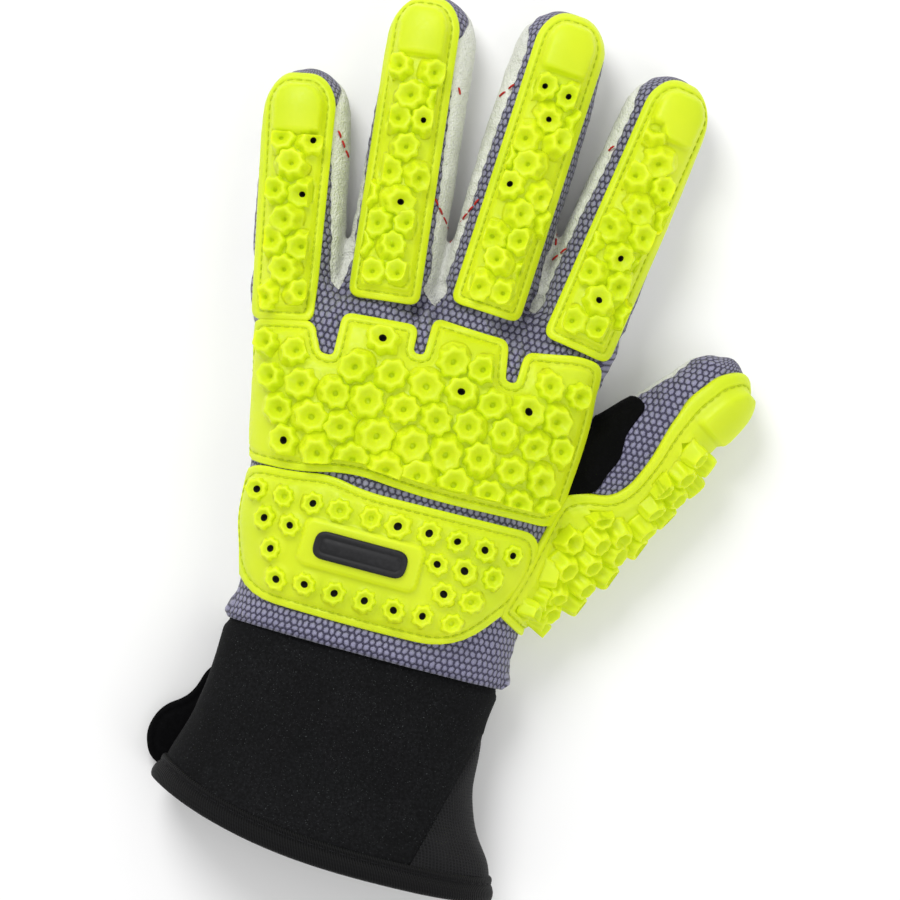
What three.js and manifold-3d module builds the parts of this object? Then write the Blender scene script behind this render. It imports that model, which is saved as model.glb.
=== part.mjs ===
// Impact glove for the left hand, lying palm down.
// Millimetres, +Z up, fingers along +Y, thumb towards +X, floor at Z 0.
import * as THREE from 'three';
import { mergeVertices } from 'three/addons/utils/BufferGeometryUtils.js';
import Module from 'manifold-3d';

const wasm = await Module();
wasm.setup();

// Driving dimensions
const CLEARANCE = 0.3;        // gap between pieces that touch
const FABRIC_WALL = 2;        // knitted back and leather palm
const CUFF_WALL = 2.6;        // padded cuff
const HEM_WIDTH = 7.6;        // ribbed tape round the mouth
const HEM_PROUD = 0.8;        // how far the tape stands over the cuff, inside and outside
const FLANGE = 1.6;           // sewn edge of a guard, over the cloth
const FIELD = 2.8;            // raised field of a guard, over the cloth
const TIP_BLOCK = 4.2;        // smooth block at a fingertip
const BOSS = 5.6;             // top of the tube-like bosses
const BOSS_FOOT = 1.4;        // how far a boss reaches below the cloth before it is cut back
const RAISED_PANEL = 4.6;     // plain raised panel on the wrist guard
const INLAY = 1;              // black bar on that panel
const FLANGE_WIDTH = 3.4;     // from a guard's edge to its raised field
const BOSS_MARGIN = 1.6;      // from a field's edge to the nearest boss centre
const BOSS_KEEP_OUT = 3.6;    // from the raised panel's edge to the nearest boss centre
const GUARD_GAP = 0.6;        // space beside the knuckle guard
const PATCH = 1.4;            // black patch at the thumb crotch
const WRIST_Y = -57;          // where the hand part ends and the cuff begins
const SEAM_Z = 14;            // height of the side seam of hand and cuff
const GUARD_LOW_Z = 19;       // how far the wide guards wrap down the sides
const MID_SHARE = 0.42;       // a section is widest at this share of its height
const UNDERCUT = 3;           // how far the sections would reach below the floor if it weren't there
const RING_POINTS = 18;
const TALL = 90;              // any height above the glove

const COLOURS = {
  mesh: { color: 0x7f7aa6, roughness: 0.85 },
  leather: { color: 0xdadfd9, roughness: 0.7 },
  guard: { color: 0xd3f014, roughness: 0.45 },
  black: { color: 0x17181a, roughness: 0.75 },
};

// Gives each row of a table its column names.
function table(columns, rows) {
  return rows.map((row) => Object.fromEntries(columns.map((name, i) => [name, row[i]])));
}

// Sections across the hand: along its axis, sideways from the axis, half width, and height of the top.
const SECTION = ['along', 'side', 'half', 'top'];

const PALM = {
  angle: 0,
  x: 0,
  y: 0,
  rows: table(SECTION, [
    [WRIST_Y, 4, 44, 37],
    [-48, 4.7, 43.3, 38.5],
    [-38, 4, 44, 41],
    [-25, 2.5, 46, 42.5],
    [-10, 2, 47.6, 43],
    [5, 1, 50, 42.5],
    [20, 0, 52.5, 41],
    [32, -1.5, 54, 38],
    [43, -2, 54, 33],
    [54, -1, 47, 17],
  ]),
};

// Fingers and thumb: angle from +Y towards +X, root point, tip along the axis and length of the rounded end.
// seamTilt is the slope of the seam between back and palm, and seamZ its height at the finger's centre line.
const FINGERS = {
  little: {
    angle: -10.8, x: -40.1, y: 15, tip: 97.6, round: 15, seamTilt: 0.56, seamZ: 14.5,
    rows: table(SECTION, [
      [0, 0, 11, 20], [22, 0, 13.8, 28], [40, 0, 14.2, 26], [66, 0, 14.1, 23], [82.6, 0, 13.2, 21.5],
    ]),
  },
  ring: {
    angle: -5.2, x: -14.1, y: 15, tip: 129.5, round: 15, seamTilt: 0.56, seamZ: 15,
    rows: table(SECTION, [
      [0, 0, 11, 25], [34, 0, 13.9, 31], [52, 0, 14.3, 28], [84, 0, 14.1, 24.5], [114.5, 0, 13.4, 22],
    ]),
  },
  middle: {
    angle: 2, x: 10, y: 15, tip: 134.6, round: 15, seamTilt: -0.5, seamZ: 12.8,
    rows: table(SECTION, [
      [0, 0, 11, 25], [36, 0, 14.1, 31.5], [56, 0, 14.5, 28.5], [92, 0, 15, 25], [119.6, 0, 14, 22.5],
    ]),
  },
  index: {
    angle: 8.7, x: 33.4, y: 15, tip: 125, round: 15, seamTilt: -0.5, seamZ: 12.4,
    rows: table(SECTION, [
      [0, 0, 11, 24], [34, 0, 13.6, 30], [54, 0, 14, 27], [82, 0, 14, 24], [110, 0, 13.2, 22],
    ]),
  },
  thumb: {
    angle: 30, x: 0, y: 0, tip: 97.5, round: 15, seamTilt: -0.15, seamZ: 12,
    rows: table(SECTION, [
      [-12, 44, 12, 15], [5, 46, 17.6, 20], [25, 46, 18, 22], [45, 46.3, 16.8, 24], [62, 47.5, 14.4, 24.5],
      [82.5, 49.2, 12.2, 22.5],
    ]),
  },
};

const CUFF = {
  angle: 0,
  x: 0,
  y: 0,
  rows: table(SECTION, [
    [-126, 5, 55.5, 47],
    [-110, 4.3, 53, 45],
    [-100, 2.5, 48.5, 42.5],
    [-90, 2, 44.8, 40.5],
    [-80, 2.3, 43.4, 39],
    [-70, 2.6, 42.7, 37.5],
    [WRIST_Y - CLEARANCE, 3.6, 43.4, 36.5],
  ]),
};

// Outlines of the wide guards, seen from above: corners with the radius that rounds each.
const CORNER = ['x', 'y', 'radius'];

const KNUCKLE_OUTLINE = table(CORNER, [
  [-56.5, 33.5, 4], [-55, 10, 10], [-51.5, -9, 9], [-30, -8.6, 12], [-14, -4.3, 12], [10, -6.3, 12],
  [38, -5.4, 12], [54, -5, 8], [56, 24, 12], [54, 46.8, 5], [44, 47.6, 6], [27.4, 44.2, 3.2],
  [27.2, 34.2, 1.6], [23.9, 34.2, 1.6], [21.9, 46.4, 3.4], [-1.9, 47.2, 3.4], [-1.9, 35.3, 1.6],
  [-5.2, 35.3, 1.6], [-5.6, 43.6, 3.4], [-28.9, 41.8, 3.4], [-28.4, 28.2, 1.6], [-32.4, 28.2, 1.6],
  [-36.5, 37, 3.4],
]);

const WRIST_OUTLINE = table(CORNER, [
  [-46, -9.6, 7], [-46.5, -24, 10], [-38.5, -48.8, 13], [0, -49.2, 20], [30, -48.6, 12], [45.6, -29, 8],
  [48, -16, 8], [45, -8, 7], [-8, -8.8, 12], [-20, -6.6, 12], [-30, -8.6, 12],
]);

const PATCH_OUTLINE = table(CORNER, [
  [51, 4, 2], [60.4, 8, 3], [62.4, 18, 3], [66.2, 31, 4], [68.5, 45, 4], [58, 40, 4], [52, 33, 1],
]);

const TAB_OUTLINE = table(CORNER, [
  [-36, -76, 2], [-44, -80, 6], [-54.5, -91, 8], [-55, -104, 8], [-46, -109, 5], [-36, -104, 4],
]);

const RAISED_PANEL_OUTLINE = table(CORNER, [[-23, -20, 3], [-23, -34.8, 3], [14, -34.8, 3], [14, -20, 3]]);
const INLAY_OUTLINE = table(CORNER, [
  [-18.5, -23.2, 3.6], [-18.5, -31.6, 3.6], [9.5, -31.6, 3.6], [9.5, -23.2, 3.6],
]);

const GUSSET_OUTLINE = table(CORNER, [[38.2, -80, 0.5], [32.2, -124, 0.5], [66, -124, 0.5], [66, -80, 0.5]]);

// The part of the hand, seen from above, whose seam is level: it ends at the crotches of the fingers.
const BACK_AREA = [[-80, -70], [51, -70], [54, 0], [54, 53], [26, 53], [-3, 51.5], [-33, 45.5], [-80, 45.5]];

// Guards on fingers and thumb: start and end along the finger, width, roll, and the tip block's length.
const FINGER_GUARDS = table(
  ['finger', 'start', 'end', 'width', 'roll', 'block'],
  [
    ['little', 20.6, 95, 21.4, -20, 15],
    ['ring', 33.6, 127.5, 21.6, -17, 15],
    ['middle', 38, 132.8, 21.4, 14, 15],
    ['index', 35, 123, 21.6, 16, 15],
    ['thumb', -6, 95.5, 23, 52, 20],
  ],
);

// Lattices of bosses: pitch across and along, and the first boss.
const LATTICES = {
  knuckle: { across: 10.7, along: 9.1, x0: -3.8, y0: -0.6, radius: 4.2 },
  wrist: { across: 8.8, along: 8.1, x0: 0, y0: -40.6, radius: 3.4 },
  finger: { across: 9, along: 8, radius: 3.8 },
};

const rad = THREE.MathUtils.degToRad;
const UP = new THREE.Vector3(0, 0, 1);

// Unit vectors along a limb's axis and sideways from it.
function axes(limb) {
  const angle = rad(limb.angle);
  return {
    along: new THREE.Vector3(Math.sin(angle), Math.cos(angle), 0),
    side: new THREE.Vector3(Math.cos(angle), -Math.sin(angle), 0),
  };
}

function place(limb, along, side, z) {
  const dir = axes(limb);
  const start = new THREE.Vector3(limb.x, limb.y, z);
  return start.addScaledVector(dir.along, along).addScaledVector(dir.side, side);
}

// The section of a limb at a place along it, between its rows.
function sectionAt(limb, along) {
  const rows = limb.rows;
  let i = 0;
  while (i < rows.length - 2 && along > rows[i + 1].along) i += 1;
  const t = THREE.MathUtils.clamp((along - rows[i].along) / (rows[i + 1].along - rows[i].along), 0, 1);
  const mix = (key) => THREE.MathUtils.lerp(rows[i][key], rows[i + 1][key], t);
  return { along, side: mix('side'), half: mix('half'), top: mix('top') };
}

// One closed ring of points round a section. Its top half is half an ellipse, its lower half is fuller and
// stops flat at the floor. scale shrinks it towards its middle for the rounded end of a finger.
function ring(limb, section, offset, scale, shift) {
  const mid = section.top * MID_SHARE;
  const floor = Math.max(0, -offset);
  const half = (section.half + offset) * scale;
  const rise = (section.top - mid + offset) * scale;
  const drop = (mid + UNDERCUT + offset) * scale;
  const points = [];
  for (let k = 0; k < RING_POINTS; k += 1) {
    const turn = (2 * Math.PI * k) / RING_POINTS;
    const c = Math.cos(turn);
    const s = Math.sin(turn);
    const fuller = s < 0 ? 2 / 3 : 1;
    const across = Math.sign(c) * Math.abs(c) ** fuller * half;
    const height = s < 0 ? mid - Math.abs(s) ** fuller * drop : mid + s * rise;
    points.push(place(limb, section.along + shift, section.side + across, Math.max(floor, height)));
  }
  return points;
}

// The closed loft through all sections of a limb, grown by offset, or shrunk where offset is below zero.
// openStart and openEnd carry its ends further, for a hollow that cuts through a wall.
function loft(limb, offset, openStart = 0, openEnd = 0) {
  const rings = limb.rows.map((row) => ring(limb, row, offset, 1, 0));
  const first = limb.rows[0];
  const last = limb.rows[limb.rows.length - 1];
  if (openStart) rings.unshift(ring(limb, first, offset, 1, -openStart));
  if (openEnd) rings.push(ring(limb, last, offset, 1, openEnd));
  let apex = null;
  if (limb.tip) {
    for (const degrees of [30, 60]) {
      const shift = (limb.round + offset) * Math.sin(rad(degrees));
      rings.push(ring(limb, last, offset, Math.cos(rad(degrees)), shift));
    }
    const height = Math.max(last.top * MID_SHARE, -offset);
    apex = place(limb, last.along + limb.round + offset, last.side, height);
  }
  return ringsToSolid(rings, apex);
}

function ringsToSolid(rings, apex) {
  const points = rings.flat();
  const count = RING_POINTS;
  const faces = [];
  const middle = (list) => list.reduce((sum, p) => sum.add(p), new THREE.Vector3()).divideScalar(list.length);
  points.push(middle(rings[0]), apex ?? middle(rings[rings.length - 1]));
  const start = points.length - 2;
  const end = points.length - 1;
  for (let k = 0; k < count; k += 1) {
    const next = (k + 1) % count;
    for (let i = 0; i < rings.length - 1; i += 1) {
      const a = i * count + k;
      const b = i * count + next;
      faces.push(a, a + count, b + count, a, b + count, b);
    }
    const top = (rings.length - 1) * count;
    faces.push(start, k, next, end, top + next, top + k);
  }
  const geometry = new THREE.BufferGeometry().setFromPoints(points);
  geometry.setIndex(faces);
  return toSolid(geometry);
}

function toSolid(geometry) {
  geometry.deleteAttribute('normal');
  geometry.deleteAttribute('uv');
  const merged = mergeVertices(geometry, 1e-4);
  const vertProperties = new Float32Array(merged.attributes.position.array);
  const triVerts = new Uint32Array(merged.index.array);
  return new wasm.Manifold(new wasm.Mesh({ numProp: 3, vertProperties, triVerts }));
}

function union(solids) {
  return solids.reduce((sum, solid) => sum.add(solid));
}

// Turns rounded corners into a closed outline of points.
function roundedOutline(corners) {
  const points = [];
  const at = (corner) => new THREE.Vector2(corner.x, corner.y);
  corners.forEach((corner, i) => {
    const before = at(corners[(i + corners.length - 1) % corners.length]);
    const after = at(corners[(i + 1) % corners.length]);
    const here = at(corner);
    const reach = Math.min(corner.radius, here.distanceTo(before) / 2.05, here.distanceTo(after) / 2.05);
    const from = here.clone().lerp(before, reach / here.distanceTo(before));
    const to = here.clone().lerp(after, reach / here.distanceTo(after));
    const curve = new THREE.QuadraticBezierCurve(from, here, to);
    points.push(...curve.getPoints(2));
  });
  return points;
}

// Moves every edge of a cornered outline inwards by a distance. The corners run anticlockwise.
function inset(corners, distance) {
  const edges = corners.map((corner, i) => {
    const next = corners[(i + 1) % corners.length];
    const dir = new THREE.Vector2(next.x - corner.x, next.y - corner.y).normalize();
    return { dir, point: new THREE.Vector2(corner.x - dir.y * distance, corner.y + dir.x * distance) };
  });
  return corners.map((corner, i) => {
    const a = edges[(i + corners.length - 1) % corners.length];
    const b = edges[i];
    const turn = a.dir.cross(b.dir);
    const straight = Math.abs(turn) < 0.05;
    const t = straight ? 0 : b.point.clone().sub(a.point).cross(b.dir) / turn;
    const at = straight ? b.point.clone() : a.point.clone().addScaledVector(a.dir, t);
    return { x: at.x, y: at.y, radius: Math.max(0.6, corner.radius - Math.sign(turn) * distance) };
  });
}

// A prism over an outline, on a plane spanned by across and along. It rises along their cross product.
function prism(points, low, high, origin, across, along) {
  const shape = new THREE.Shape(points);
  const geometry = new THREE.ExtrudeGeometry(shape, { depth: high - low, bevelEnabled: false, steps: 1 });
  const normal = new THREE.Vector3().crossVectors(across, along);
  const matrix = new THREE.Matrix4().makeBasis(across, along, normal);
  matrix.setPosition(origin.clone().addScaledVector(normal, low));
  geometry.applyMatrix4(matrix);
  return toSolid(geometry);
}

function uprightPrism(points, low, high) {
  const across = new THREE.Vector3(1, 0, 0);
  const along = new THREE.Vector3(0, 1, 0);
  return prism(points, low, high, new THREE.Vector3(), across, along);
}

// A six-sided stub that stands over a point of the surface, along its normal. Its foot is below the surface.
function boss(point, normal, radius) {
  const geometry = new THREE.CylinderGeometry(radius * 0.9, radius * 1.08, BOSS + BOSS_FOOT, 6);
  geometry.rotateX(Math.PI / 2);
  geometry.translate(0, 0, (BOSS - BOSS_FOOT) / 2);
  const turn = new THREE.Quaternion().setFromUnitVectors(UP, normal);
  geometry.applyQuaternion(turn);
  geometry.translate(point.x, point.y, point.z);
  return toSolid(geometry);
}

// The point and the normal on the top half of a limb's surface, at an arc length sideways from its top.
function surfacePoint(limb, along, arc) {
  const section = sectionAt(limb, along);
  const mid = section.top * MID_SHARE;
  const rise = section.top - mid;
  const step = 0.01;
  let turn = 0;
  let length = 0;
  while (length < Math.abs(arc)) {
    length += step * Math.hypot(section.half * Math.cos(turn), rise * Math.sin(turn));
    turn += step;
  }
  turn *= Math.sign(arc);
  const dir = axes(limb);
  const point = place(limb, along, section.side + section.half * Math.sin(turn), mid + rise * Math.cos(turn));
  const normal = dir.side.clone().multiplyScalar(Math.sin(turn) / section.half);
  normal.addScaledVector(UP, Math.cos(turn) / rise).normalize();
  return { point, normal };
}

const bodies = new Map();

// The whole hand, grown by offset: palm, fingers and thumb joined.
function hand(offset) {
  if (!bodies.has(offset)) {
    const openStart = offset < 0 ? 5 : 0;
    const limbs = Object.values(FINGERS).map((finger) => loft(finger, offset));
    bodies.set(offset, union([loft(PALM, offset, openStart), ...limbs]));
  }
  return bodies.get(offset);
}

// The biggest of the separate bodies that a cut leaves.
function largest(solid) {
  const parts = solid.decompose();
  return parts.reduce((best, part) => (part.volume() > best.volume() ? part : best));
}

// The space over the side seam: a block over the hand and a tilted wedge over each finger.
function aboveSeam(gap) {
  const blocks = [uprightPrism(BACK_AREA.map(([x, y]) => new THREE.Vector2(x, y)), SEAM_Z - gap, TALL)];
  for (const finger of Object.values(FINGERS)) {
    const dir = axes(finger);
    const start = sectionAt(finger, finger.rows[1].along);
    const reach = start.half + 1;
    const centre = start.side;
    const seam = (side) => finger.seamZ + side * finger.seamTilt - gap;
    const points = [
      new THREE.Vector2(reach - centre, seam(-reach)), new THREE.Vector2(-reach - centre, seam(reach)),
      new THREE.Vector2(-reach - centre, TALL), new THREE.Vector2(reach - centre, TALL),
    ];
    const origin = place(finger, start.along, 0, 0);
    blocks.push(prism(points, 0, finger.tip, origin, dir.side.clone().negate(), UP));
  }
  return union(blocks);
}

// Boss places on a lattice with every other row shifted by half a pitch.
function latticePlaces(lattice, region, x0, y0) {
  const places = [];
  const xs = region.map((p) => p.x);
  const ys = region.map((p) => p.y);
  const rows = Math.ceil((Math.max(...ys) - y0) / lattice.along);
  const reach = Math.ceil((Math.max(...xs) - Math.min(...xs)) / lattice.across) + 2;
  for (let j = 0; j <= rows; j += 1) {
    for (let i = -reach; i <= reach; i += 1) {
      const x = x0 + (i + (j % 2) / 2) * lattice.across;
      const y = y0 + j * lattice.along;
      const radius = lattice.radius * (1 + 0.09 * Math.sin(2.3 * i + 3.7 * j));
      if (insideOutline(region, x, y)) places.push({ x, y, radius });
    }
  }
  return places;
}

function insideOutline(points, x, y) {
  let inside = false;
  points.forEach((a, i) => {
    const b = points[(i + 1) % points.length];
    const crosses = a.y > y !== b.y > y && x < ((b.x - a.x) * (y - a.y)) / (b.y - a.y) + a.x;
    if (crosses) inside = !inside;
  });
  return inside;
}

// A guard over the back of the hand: flange, raised field, and bosses that stand along the surface's normal.
function wideGuard(corners, lattice, keepOut) {
  const outline = roundedOutline(corners);
  const field = roundedOutline(inset(corners, FLANGE_WIDTH));
  const flange = uprightPrism(outline, GUARD_LOW_Z, TALL).intersect(hand(FLANGE));
  const raised = uprightPrism(field, GUARD_LOW_Z + FLANGE_WIDTH, TALL).intersect(hand(FIELD));
  const bossRegion = roundedOutline(inset(corners, FLANGE_WIDTH + BOSS_MARGIN));
  const studRegion = roundedOutline(inset(corners, FLANGE_WIDTH - GUARD_GAP));
  const bosses = latticePlaces(lattice, bossRegion, lattice.x0, lattice.y0)
    .filter((spot) => !keepOut || !insideOutline(keepOut, spot.x, spot.y))
    .map((spot) => {
      const { point, normal } = surfacePoint(PALM, spot.y, spot.x - sectionAt(PALM, spot.y).side);
      return boss(point, normal, spot.radius);
    });
  const studs = union(bosses).intersect(uprightPrism(studRegion, GUARD_LOW_Z + 2, TALL));
  return union([flange, raised, studs]);
}

// A guard along a finger: a strip with round ends, a smooth block at the tip and rows of bosses.
function fingerGuard(row) {
  const finger = FINGERS[row.finger];
  const dir = axes(finger);
  const middle = sectionAt(finger, (row.start + row.end) / 2);
  const roll = rad(row.roll);
  const across = dir.side.clone().multiplyScalar(Math.cos(roll)).addScaledVector(UP, -Math.sin(roll));
  const origin = place(finger, 0, middle.side, middle.top * MID_SHARE);
  const strip = (margin, low, high, radius) => roundedOutline(table(CORNER, [
    [margin - row.width / 2, low, 3.5],
    [row.width / 2 - margin, low, 3.5],
    [row.width / 2 - margin, high - radius * 0.4, radius * 0.6],
    [row.width / 2 - margin - radius * 0.3, high, radius * 0.7],
    [margin - row.width / 2 + radius * 0.3, high, radius * 0.7],
    [margin - row.width / 2, high - radius * 0.4, radius * 0.6],
  ]));
  const rise = (points, base) => prism(points, base, 50, origin, across, dir.along);
  const skin = (offset) => (row.finger === 'thumb' ? loft(finger, offset) : hand(offset));
  const flange = rise(strip(0, row.start, row.end, 11), 3).intersect(skin(FLANGE));
  const fieldOutline = strip(FLANGE_WIDTH, row.start + FLANGE_WIDTH, row.end - FLANGE_WIDTH, 8);
  const raised = rise(fieldOutline, 4).intersect(skin(FIELD));
  const blockStart = row.end - FLANGE_WIDTH - row.block;
  const blockOutline = strip(FLANGE_WIDTH + 0.4, blockStart, row.end - FLANGE_WIDTH - 0.4, 8);
  const block = rise(blockOutline, 4).intersect(skin(TIP_BLOCK));
  const region = strip(FLANGE_WIDTH + BOSS_MARGIN, row.start + FLANGE_WIDTH + 2, blockStart - 3, 3);
  const bosses = latticePlaces(LATTICES.finger, region, -row.roll / 9, row.start + 8).map((spot) => {
    const section = sectionAt(finger, spot.y);
    const turn = roll + spot.x / section.half;
    const normal = dir.side.clone().multiplyScalar(Math.sin(turn)).addScaledVector(UP, Math.cos(turn));
    const axis = place(finger, spot.y, section.side, section.top * MID_SHARE);
    return boss(axis.addScaledVector(normal, section.half), normal, spot.radius);
  });
  return union([flange, raised, block, ...bosses]);
}

// The lower edge of the cuff, seen from above.
function hemY(x) {
  return -121.9 + 11.9 * Math.abs((x - 28) / 77.5) ** 2.6;
}

// A block between two curves that follow the lower edge.
function alongHem(from, to) {
  const xs = [-66, -58, -49, -40, -30, -18, -4, 10, 28, 44, 58, 72];
  const lower = xs.map((x) => new THREE.Vector2(x, hemY(x) + from));
  const upper = xs.map((x) => new THREE.Vector2(x, to > 40 ? WRIST_Y + 10 : hemY(x) + to));
  return uprightPrism([...lower, ...upper.reverse()], -5, TALL);
}

const glove = new THREE.Group();

// Adds a solid to the glove as a named mesh.
function addPiece(name, solid, look) {
  const { vertProperties, triVerts } = largest(solid).getMesh();
  const geometry = new THREE.BufferGeometry();
  geometry.setAttribute('position', new THREE.BufferAttribute(new Float32Array(vertProperties), 3));
  geometry.setIndex(new THREE.BufferAttribute(new Uint32Array(triVerts), 1));
  geometry.computeVertexNormals();
  const mesh = new THREE.Mesh(geometry, new THREE.MeshStandardMaterial({ ...look, metalness: 0 }));
  mesh.name = name;
  glove.add(mesh);
}

// Fabric walls of the hand
function buildPanels() {
  const wall = hand(0).subtract(hand(-FABRIC_WALL));
  addPiece('back_panel', wall.intersect(aboveSeam(0)), COLOURS.mesh);
  addPiece('palm_panel', wall.subtract(aboveSeam(CLEARANCE)), COLOURS.leather);
}

// Moulded guards. Each is cut back from the cloth, and from the guards made before it.
function buildGuards() {
  const cloth = hand(CLEARANCE);
  const overPanel = uprightPrism(roundedOutline(RAISED_PANEL_OUTLINE), GUARD_LOW_Z, TALL);
  const raisedPanel = overPanel.intersect(hand(RAISED_PANEL));
  const inlay = uprightPrism(roundedOutline(INLAY_OUTLINE), GUARD_LOW_Z, TALL);
  const inlaySpace = hand(RAISED_PANEL + CLEARANCE);
  const keepOut = roundedOutline(inset(RAISED_PANEL_OUTLINE, -BOSS_KEEP_OUT));
  const knuckle = wideGuard(KNUCKLE_OUTLINE, LATTICES.knuckle).subtract(cloth);
  const wrist = wideGuard(WRIST_OUTLINE, LATTICES.wrist, keepOut).add(raisedPanel).subtract(cloth);
  addPiece('knuckle_guard', knuckle, COLOURS.guard);
  addPiece('wrist_guard', wrist, COLOURS.guard);
  const inlayTop = hand(RAISED_PANEL + CLEARANCE + INLAY);
  addPiece('panel_inlay', inlay.intersect(inlayTop).subtract(inlaySpace), COLOURS.black);
  const knuckleRoom = uprightPrism(roundedOutline(inset(KNUCKLE_OUTLINE, -GUARD_GAP)), 0, TALL);
  for (const row of FINGER_GUARDS) {
    const guard = fingerGuard(row).subtract(cloth).subtract(knuckleRoom);
    addPiece(`${row.finger}${row.finger === 'thumb' ? '' : '_finger'}_guard`, guard, COLOURS.guard);
  }
}

function buildPatch() {
  const thumb = FINGER_GUARDS.find((row) => row.finger === 'thumb');
  const over = uprightPrism(roundedOutline(PATCH_OUTLINE), 8, TALL);
  const patch = over.intersect(hand(PATCH)).subtract(hand(CLEARANCE));
  const guardRoom = fingerGuard(thumb);
  const knuckleRoom = uprightPrism(roundedOutline(inset(KNUCKLE_OUTLINE, -GUARD_GAP)), 0, TALL);
  addPiece('thumb_patch', patch.subtract(guardRoom).subtract(knuckleRoom), COLOURS.black);
}

// Cuff, stretch insert, ribbed tape and tab
function buildCuff() {
  const wall = loft(CUFF, 0).subtract(loft(CUFF, -CUFF_WALL, 5, 5));
  const body = wall.intersect(alongHem(HEM_WIDTH + CLEARANCE, TALL));
  const area = [[-70, -130], [70, -130], [70, -50], [-70, -50]].map(([x, y]) => new THREE.Vector2(x, y));
  const upper = uprightPrism(area, SEAM_Z, TALL);
  const lower = uprightPrism(area, -5, SEAM_Z - CLEARANCE);
  const gusset = uprightPrism(roundedOutline(GUSSET_OUTLINE), SEAM_Z, TALL);
  const roomOutline = roundedOutline(inset(GUSSET_OUTLINE, -CLEARANCE));
  const gussetRoom = uprightPrism(roomOutline, SEAM_Z - CLEARANCE, TALL);
  addPiece('cuff_back', body.intersect(upper).subtract(gussetRoom), COLOURS.black);
  addPiece('cuff_palm', body.intersect(lower), COLOURS.black);
  addPiece('cuff_gusset', body.intersect(gusset), COLOURS.black);
  const tape = loft(CUFF, HEM_PROUD).subtract(loft(CUFF, -CUFF_WALL - HEM_PROUD, 5, 5));
  addPiece('hem_binding', tape.intersect(alongHem(0, HEM_WIDTH)), COLOURS.black);
  const tab = uprightPrism(roundedOutline(TAB_OUTLINE), 2.5, 6).subtract(loft(CUFF, CLEARANCE));
  const tapeRoom = loft(CUFF, HEM_PROUD + CLEARANCE).intersect(alongHem(-CLEARANCE, HEM_WIDTH + CLEARANCE));
  addPiece('pull_tab', tab.subtract(tapeRoom), COLOURS.black);
}

buildPanels();
buildGuards();
buildPatch();
buildCuff();

// The origin is under the middle of the whole glove, on the floor.
const box = new THREE.Box3().setFromObject(glove);
const centre = box.getCenter(new THREE.Vector3());
glove.position.set(-centre.x, -centre.y, -box.min.z);

export default glove;
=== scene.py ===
"""Impact glove for the left hand, palm down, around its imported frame. Lengths in tables are millimetres."""

import math

import bpy
import numpy as np
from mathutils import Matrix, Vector, noise
from mathutils.bvhtree import BVHTree
from mathutils.geometry import delaunay_2d_cdt


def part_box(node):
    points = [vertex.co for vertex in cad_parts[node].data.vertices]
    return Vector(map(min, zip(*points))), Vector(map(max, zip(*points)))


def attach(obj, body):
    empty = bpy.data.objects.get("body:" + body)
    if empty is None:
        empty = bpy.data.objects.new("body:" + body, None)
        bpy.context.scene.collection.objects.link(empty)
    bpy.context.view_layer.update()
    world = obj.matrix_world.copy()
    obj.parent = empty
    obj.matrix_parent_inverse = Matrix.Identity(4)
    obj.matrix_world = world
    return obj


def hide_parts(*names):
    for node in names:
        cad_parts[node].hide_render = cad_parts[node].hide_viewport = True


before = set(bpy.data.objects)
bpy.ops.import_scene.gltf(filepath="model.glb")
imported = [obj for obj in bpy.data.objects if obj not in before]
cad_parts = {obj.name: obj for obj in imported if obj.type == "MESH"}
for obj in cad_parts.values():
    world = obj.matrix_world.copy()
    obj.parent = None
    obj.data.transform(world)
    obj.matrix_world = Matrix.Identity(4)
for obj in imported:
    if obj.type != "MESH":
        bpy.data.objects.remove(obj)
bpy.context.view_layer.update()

# Driving dimensions, in millimetres. The heights of guards, blocks and panels are over the cloth
MM = 0.001
WRIST_Y = -57.0
SEAM_Z = 14.0
MID_SHARE = 0.42  # height of a section's widest place as a share of its top
FULLNESS = 2 / 3  # exponent that fills out the lower half of a section
UNDERCUT = 3.0  # how far that half would pass the floor, which cuts it off
TIP_ROUND = 15.0
TIP_TURNS = (12, 24, 36, 48, 60, 72, 82)  # degrees of the rings round a fingertip
CLOTH = 1.8
FLANGE = 1.6  # height of a guard's sewn edge
FIELD = 2.2  # height of a guard's middle, where its bosses stand
TIP_BLOCK = 5.2
THUMB_BLOCK = 4.4
RAISED_PANEL = 4.6
INLAY_TOP = RAISED_PANEL + 1.3
FLANGE_WIDTH = 3.4
FIELD_INSET = FLANGE_WIDTH + 0.4
BLOCK_INSET = FLANGE_WIDTH + 0.3
THUMB_BLOCK_INSET = FLANGE_WIDTH - 0.5
STITCH_INSET = 2.4
CUFF_WALL = 2.6
SEAM_GROOVE = 0.5
NET_WALL = 1.2
MOUTH_Y = -116.0  # where the cuff's section gives the width of its mouth
MOUTH_LOW = (28.0, -121.9)  # the lowest place of the mouth, seen from above
MOUTH_RISE = 11.9  # how far the mouth rises from there over its reach
MOUTH_REACH = 77.5
CUFF_CENTRE = (3.0, 0.0, 16.0)
NET_RADIUS = 42.0  # a mean radius that unrolls the net
CUFF_TUCK = (-60.5, -57.5)  # where the cuff sinks in under the hand's edge
TUCK_DEPTH = 1.2
MESH_PITCH = 2.08
VOXEL = 1.1
INLAY_CENTRE = (-4.5, -27.4)  # the inlay's middle in the glove's own millimetres
PALM_END = (52, 64)  # along the glove, where the palm gives way to the fingers
THUMB_SIDE = (62, 70)  # across the glove, where the palm gives way to the thumb

low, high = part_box("panel_inlay")
ORIGIN = np.array([*(INLAY_CENTRE[k] - (low[k] + high[k]) / 2 / MM for k in (0, 1)), 0.0])
rng = np.random.default_rng(7)


def limb_of(angle, x, y, rows, tip=None, tilt=0.0, seam=0.0, root=0.0):
    """A limb: turn and start of its axis, sections, tip, slant and height of its seam, root of the finger."""
    return dict(angle=angle, x=x, y=y, rows=rows, tip=tip, tilt=tilt, seam=seam, root=root)


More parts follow.
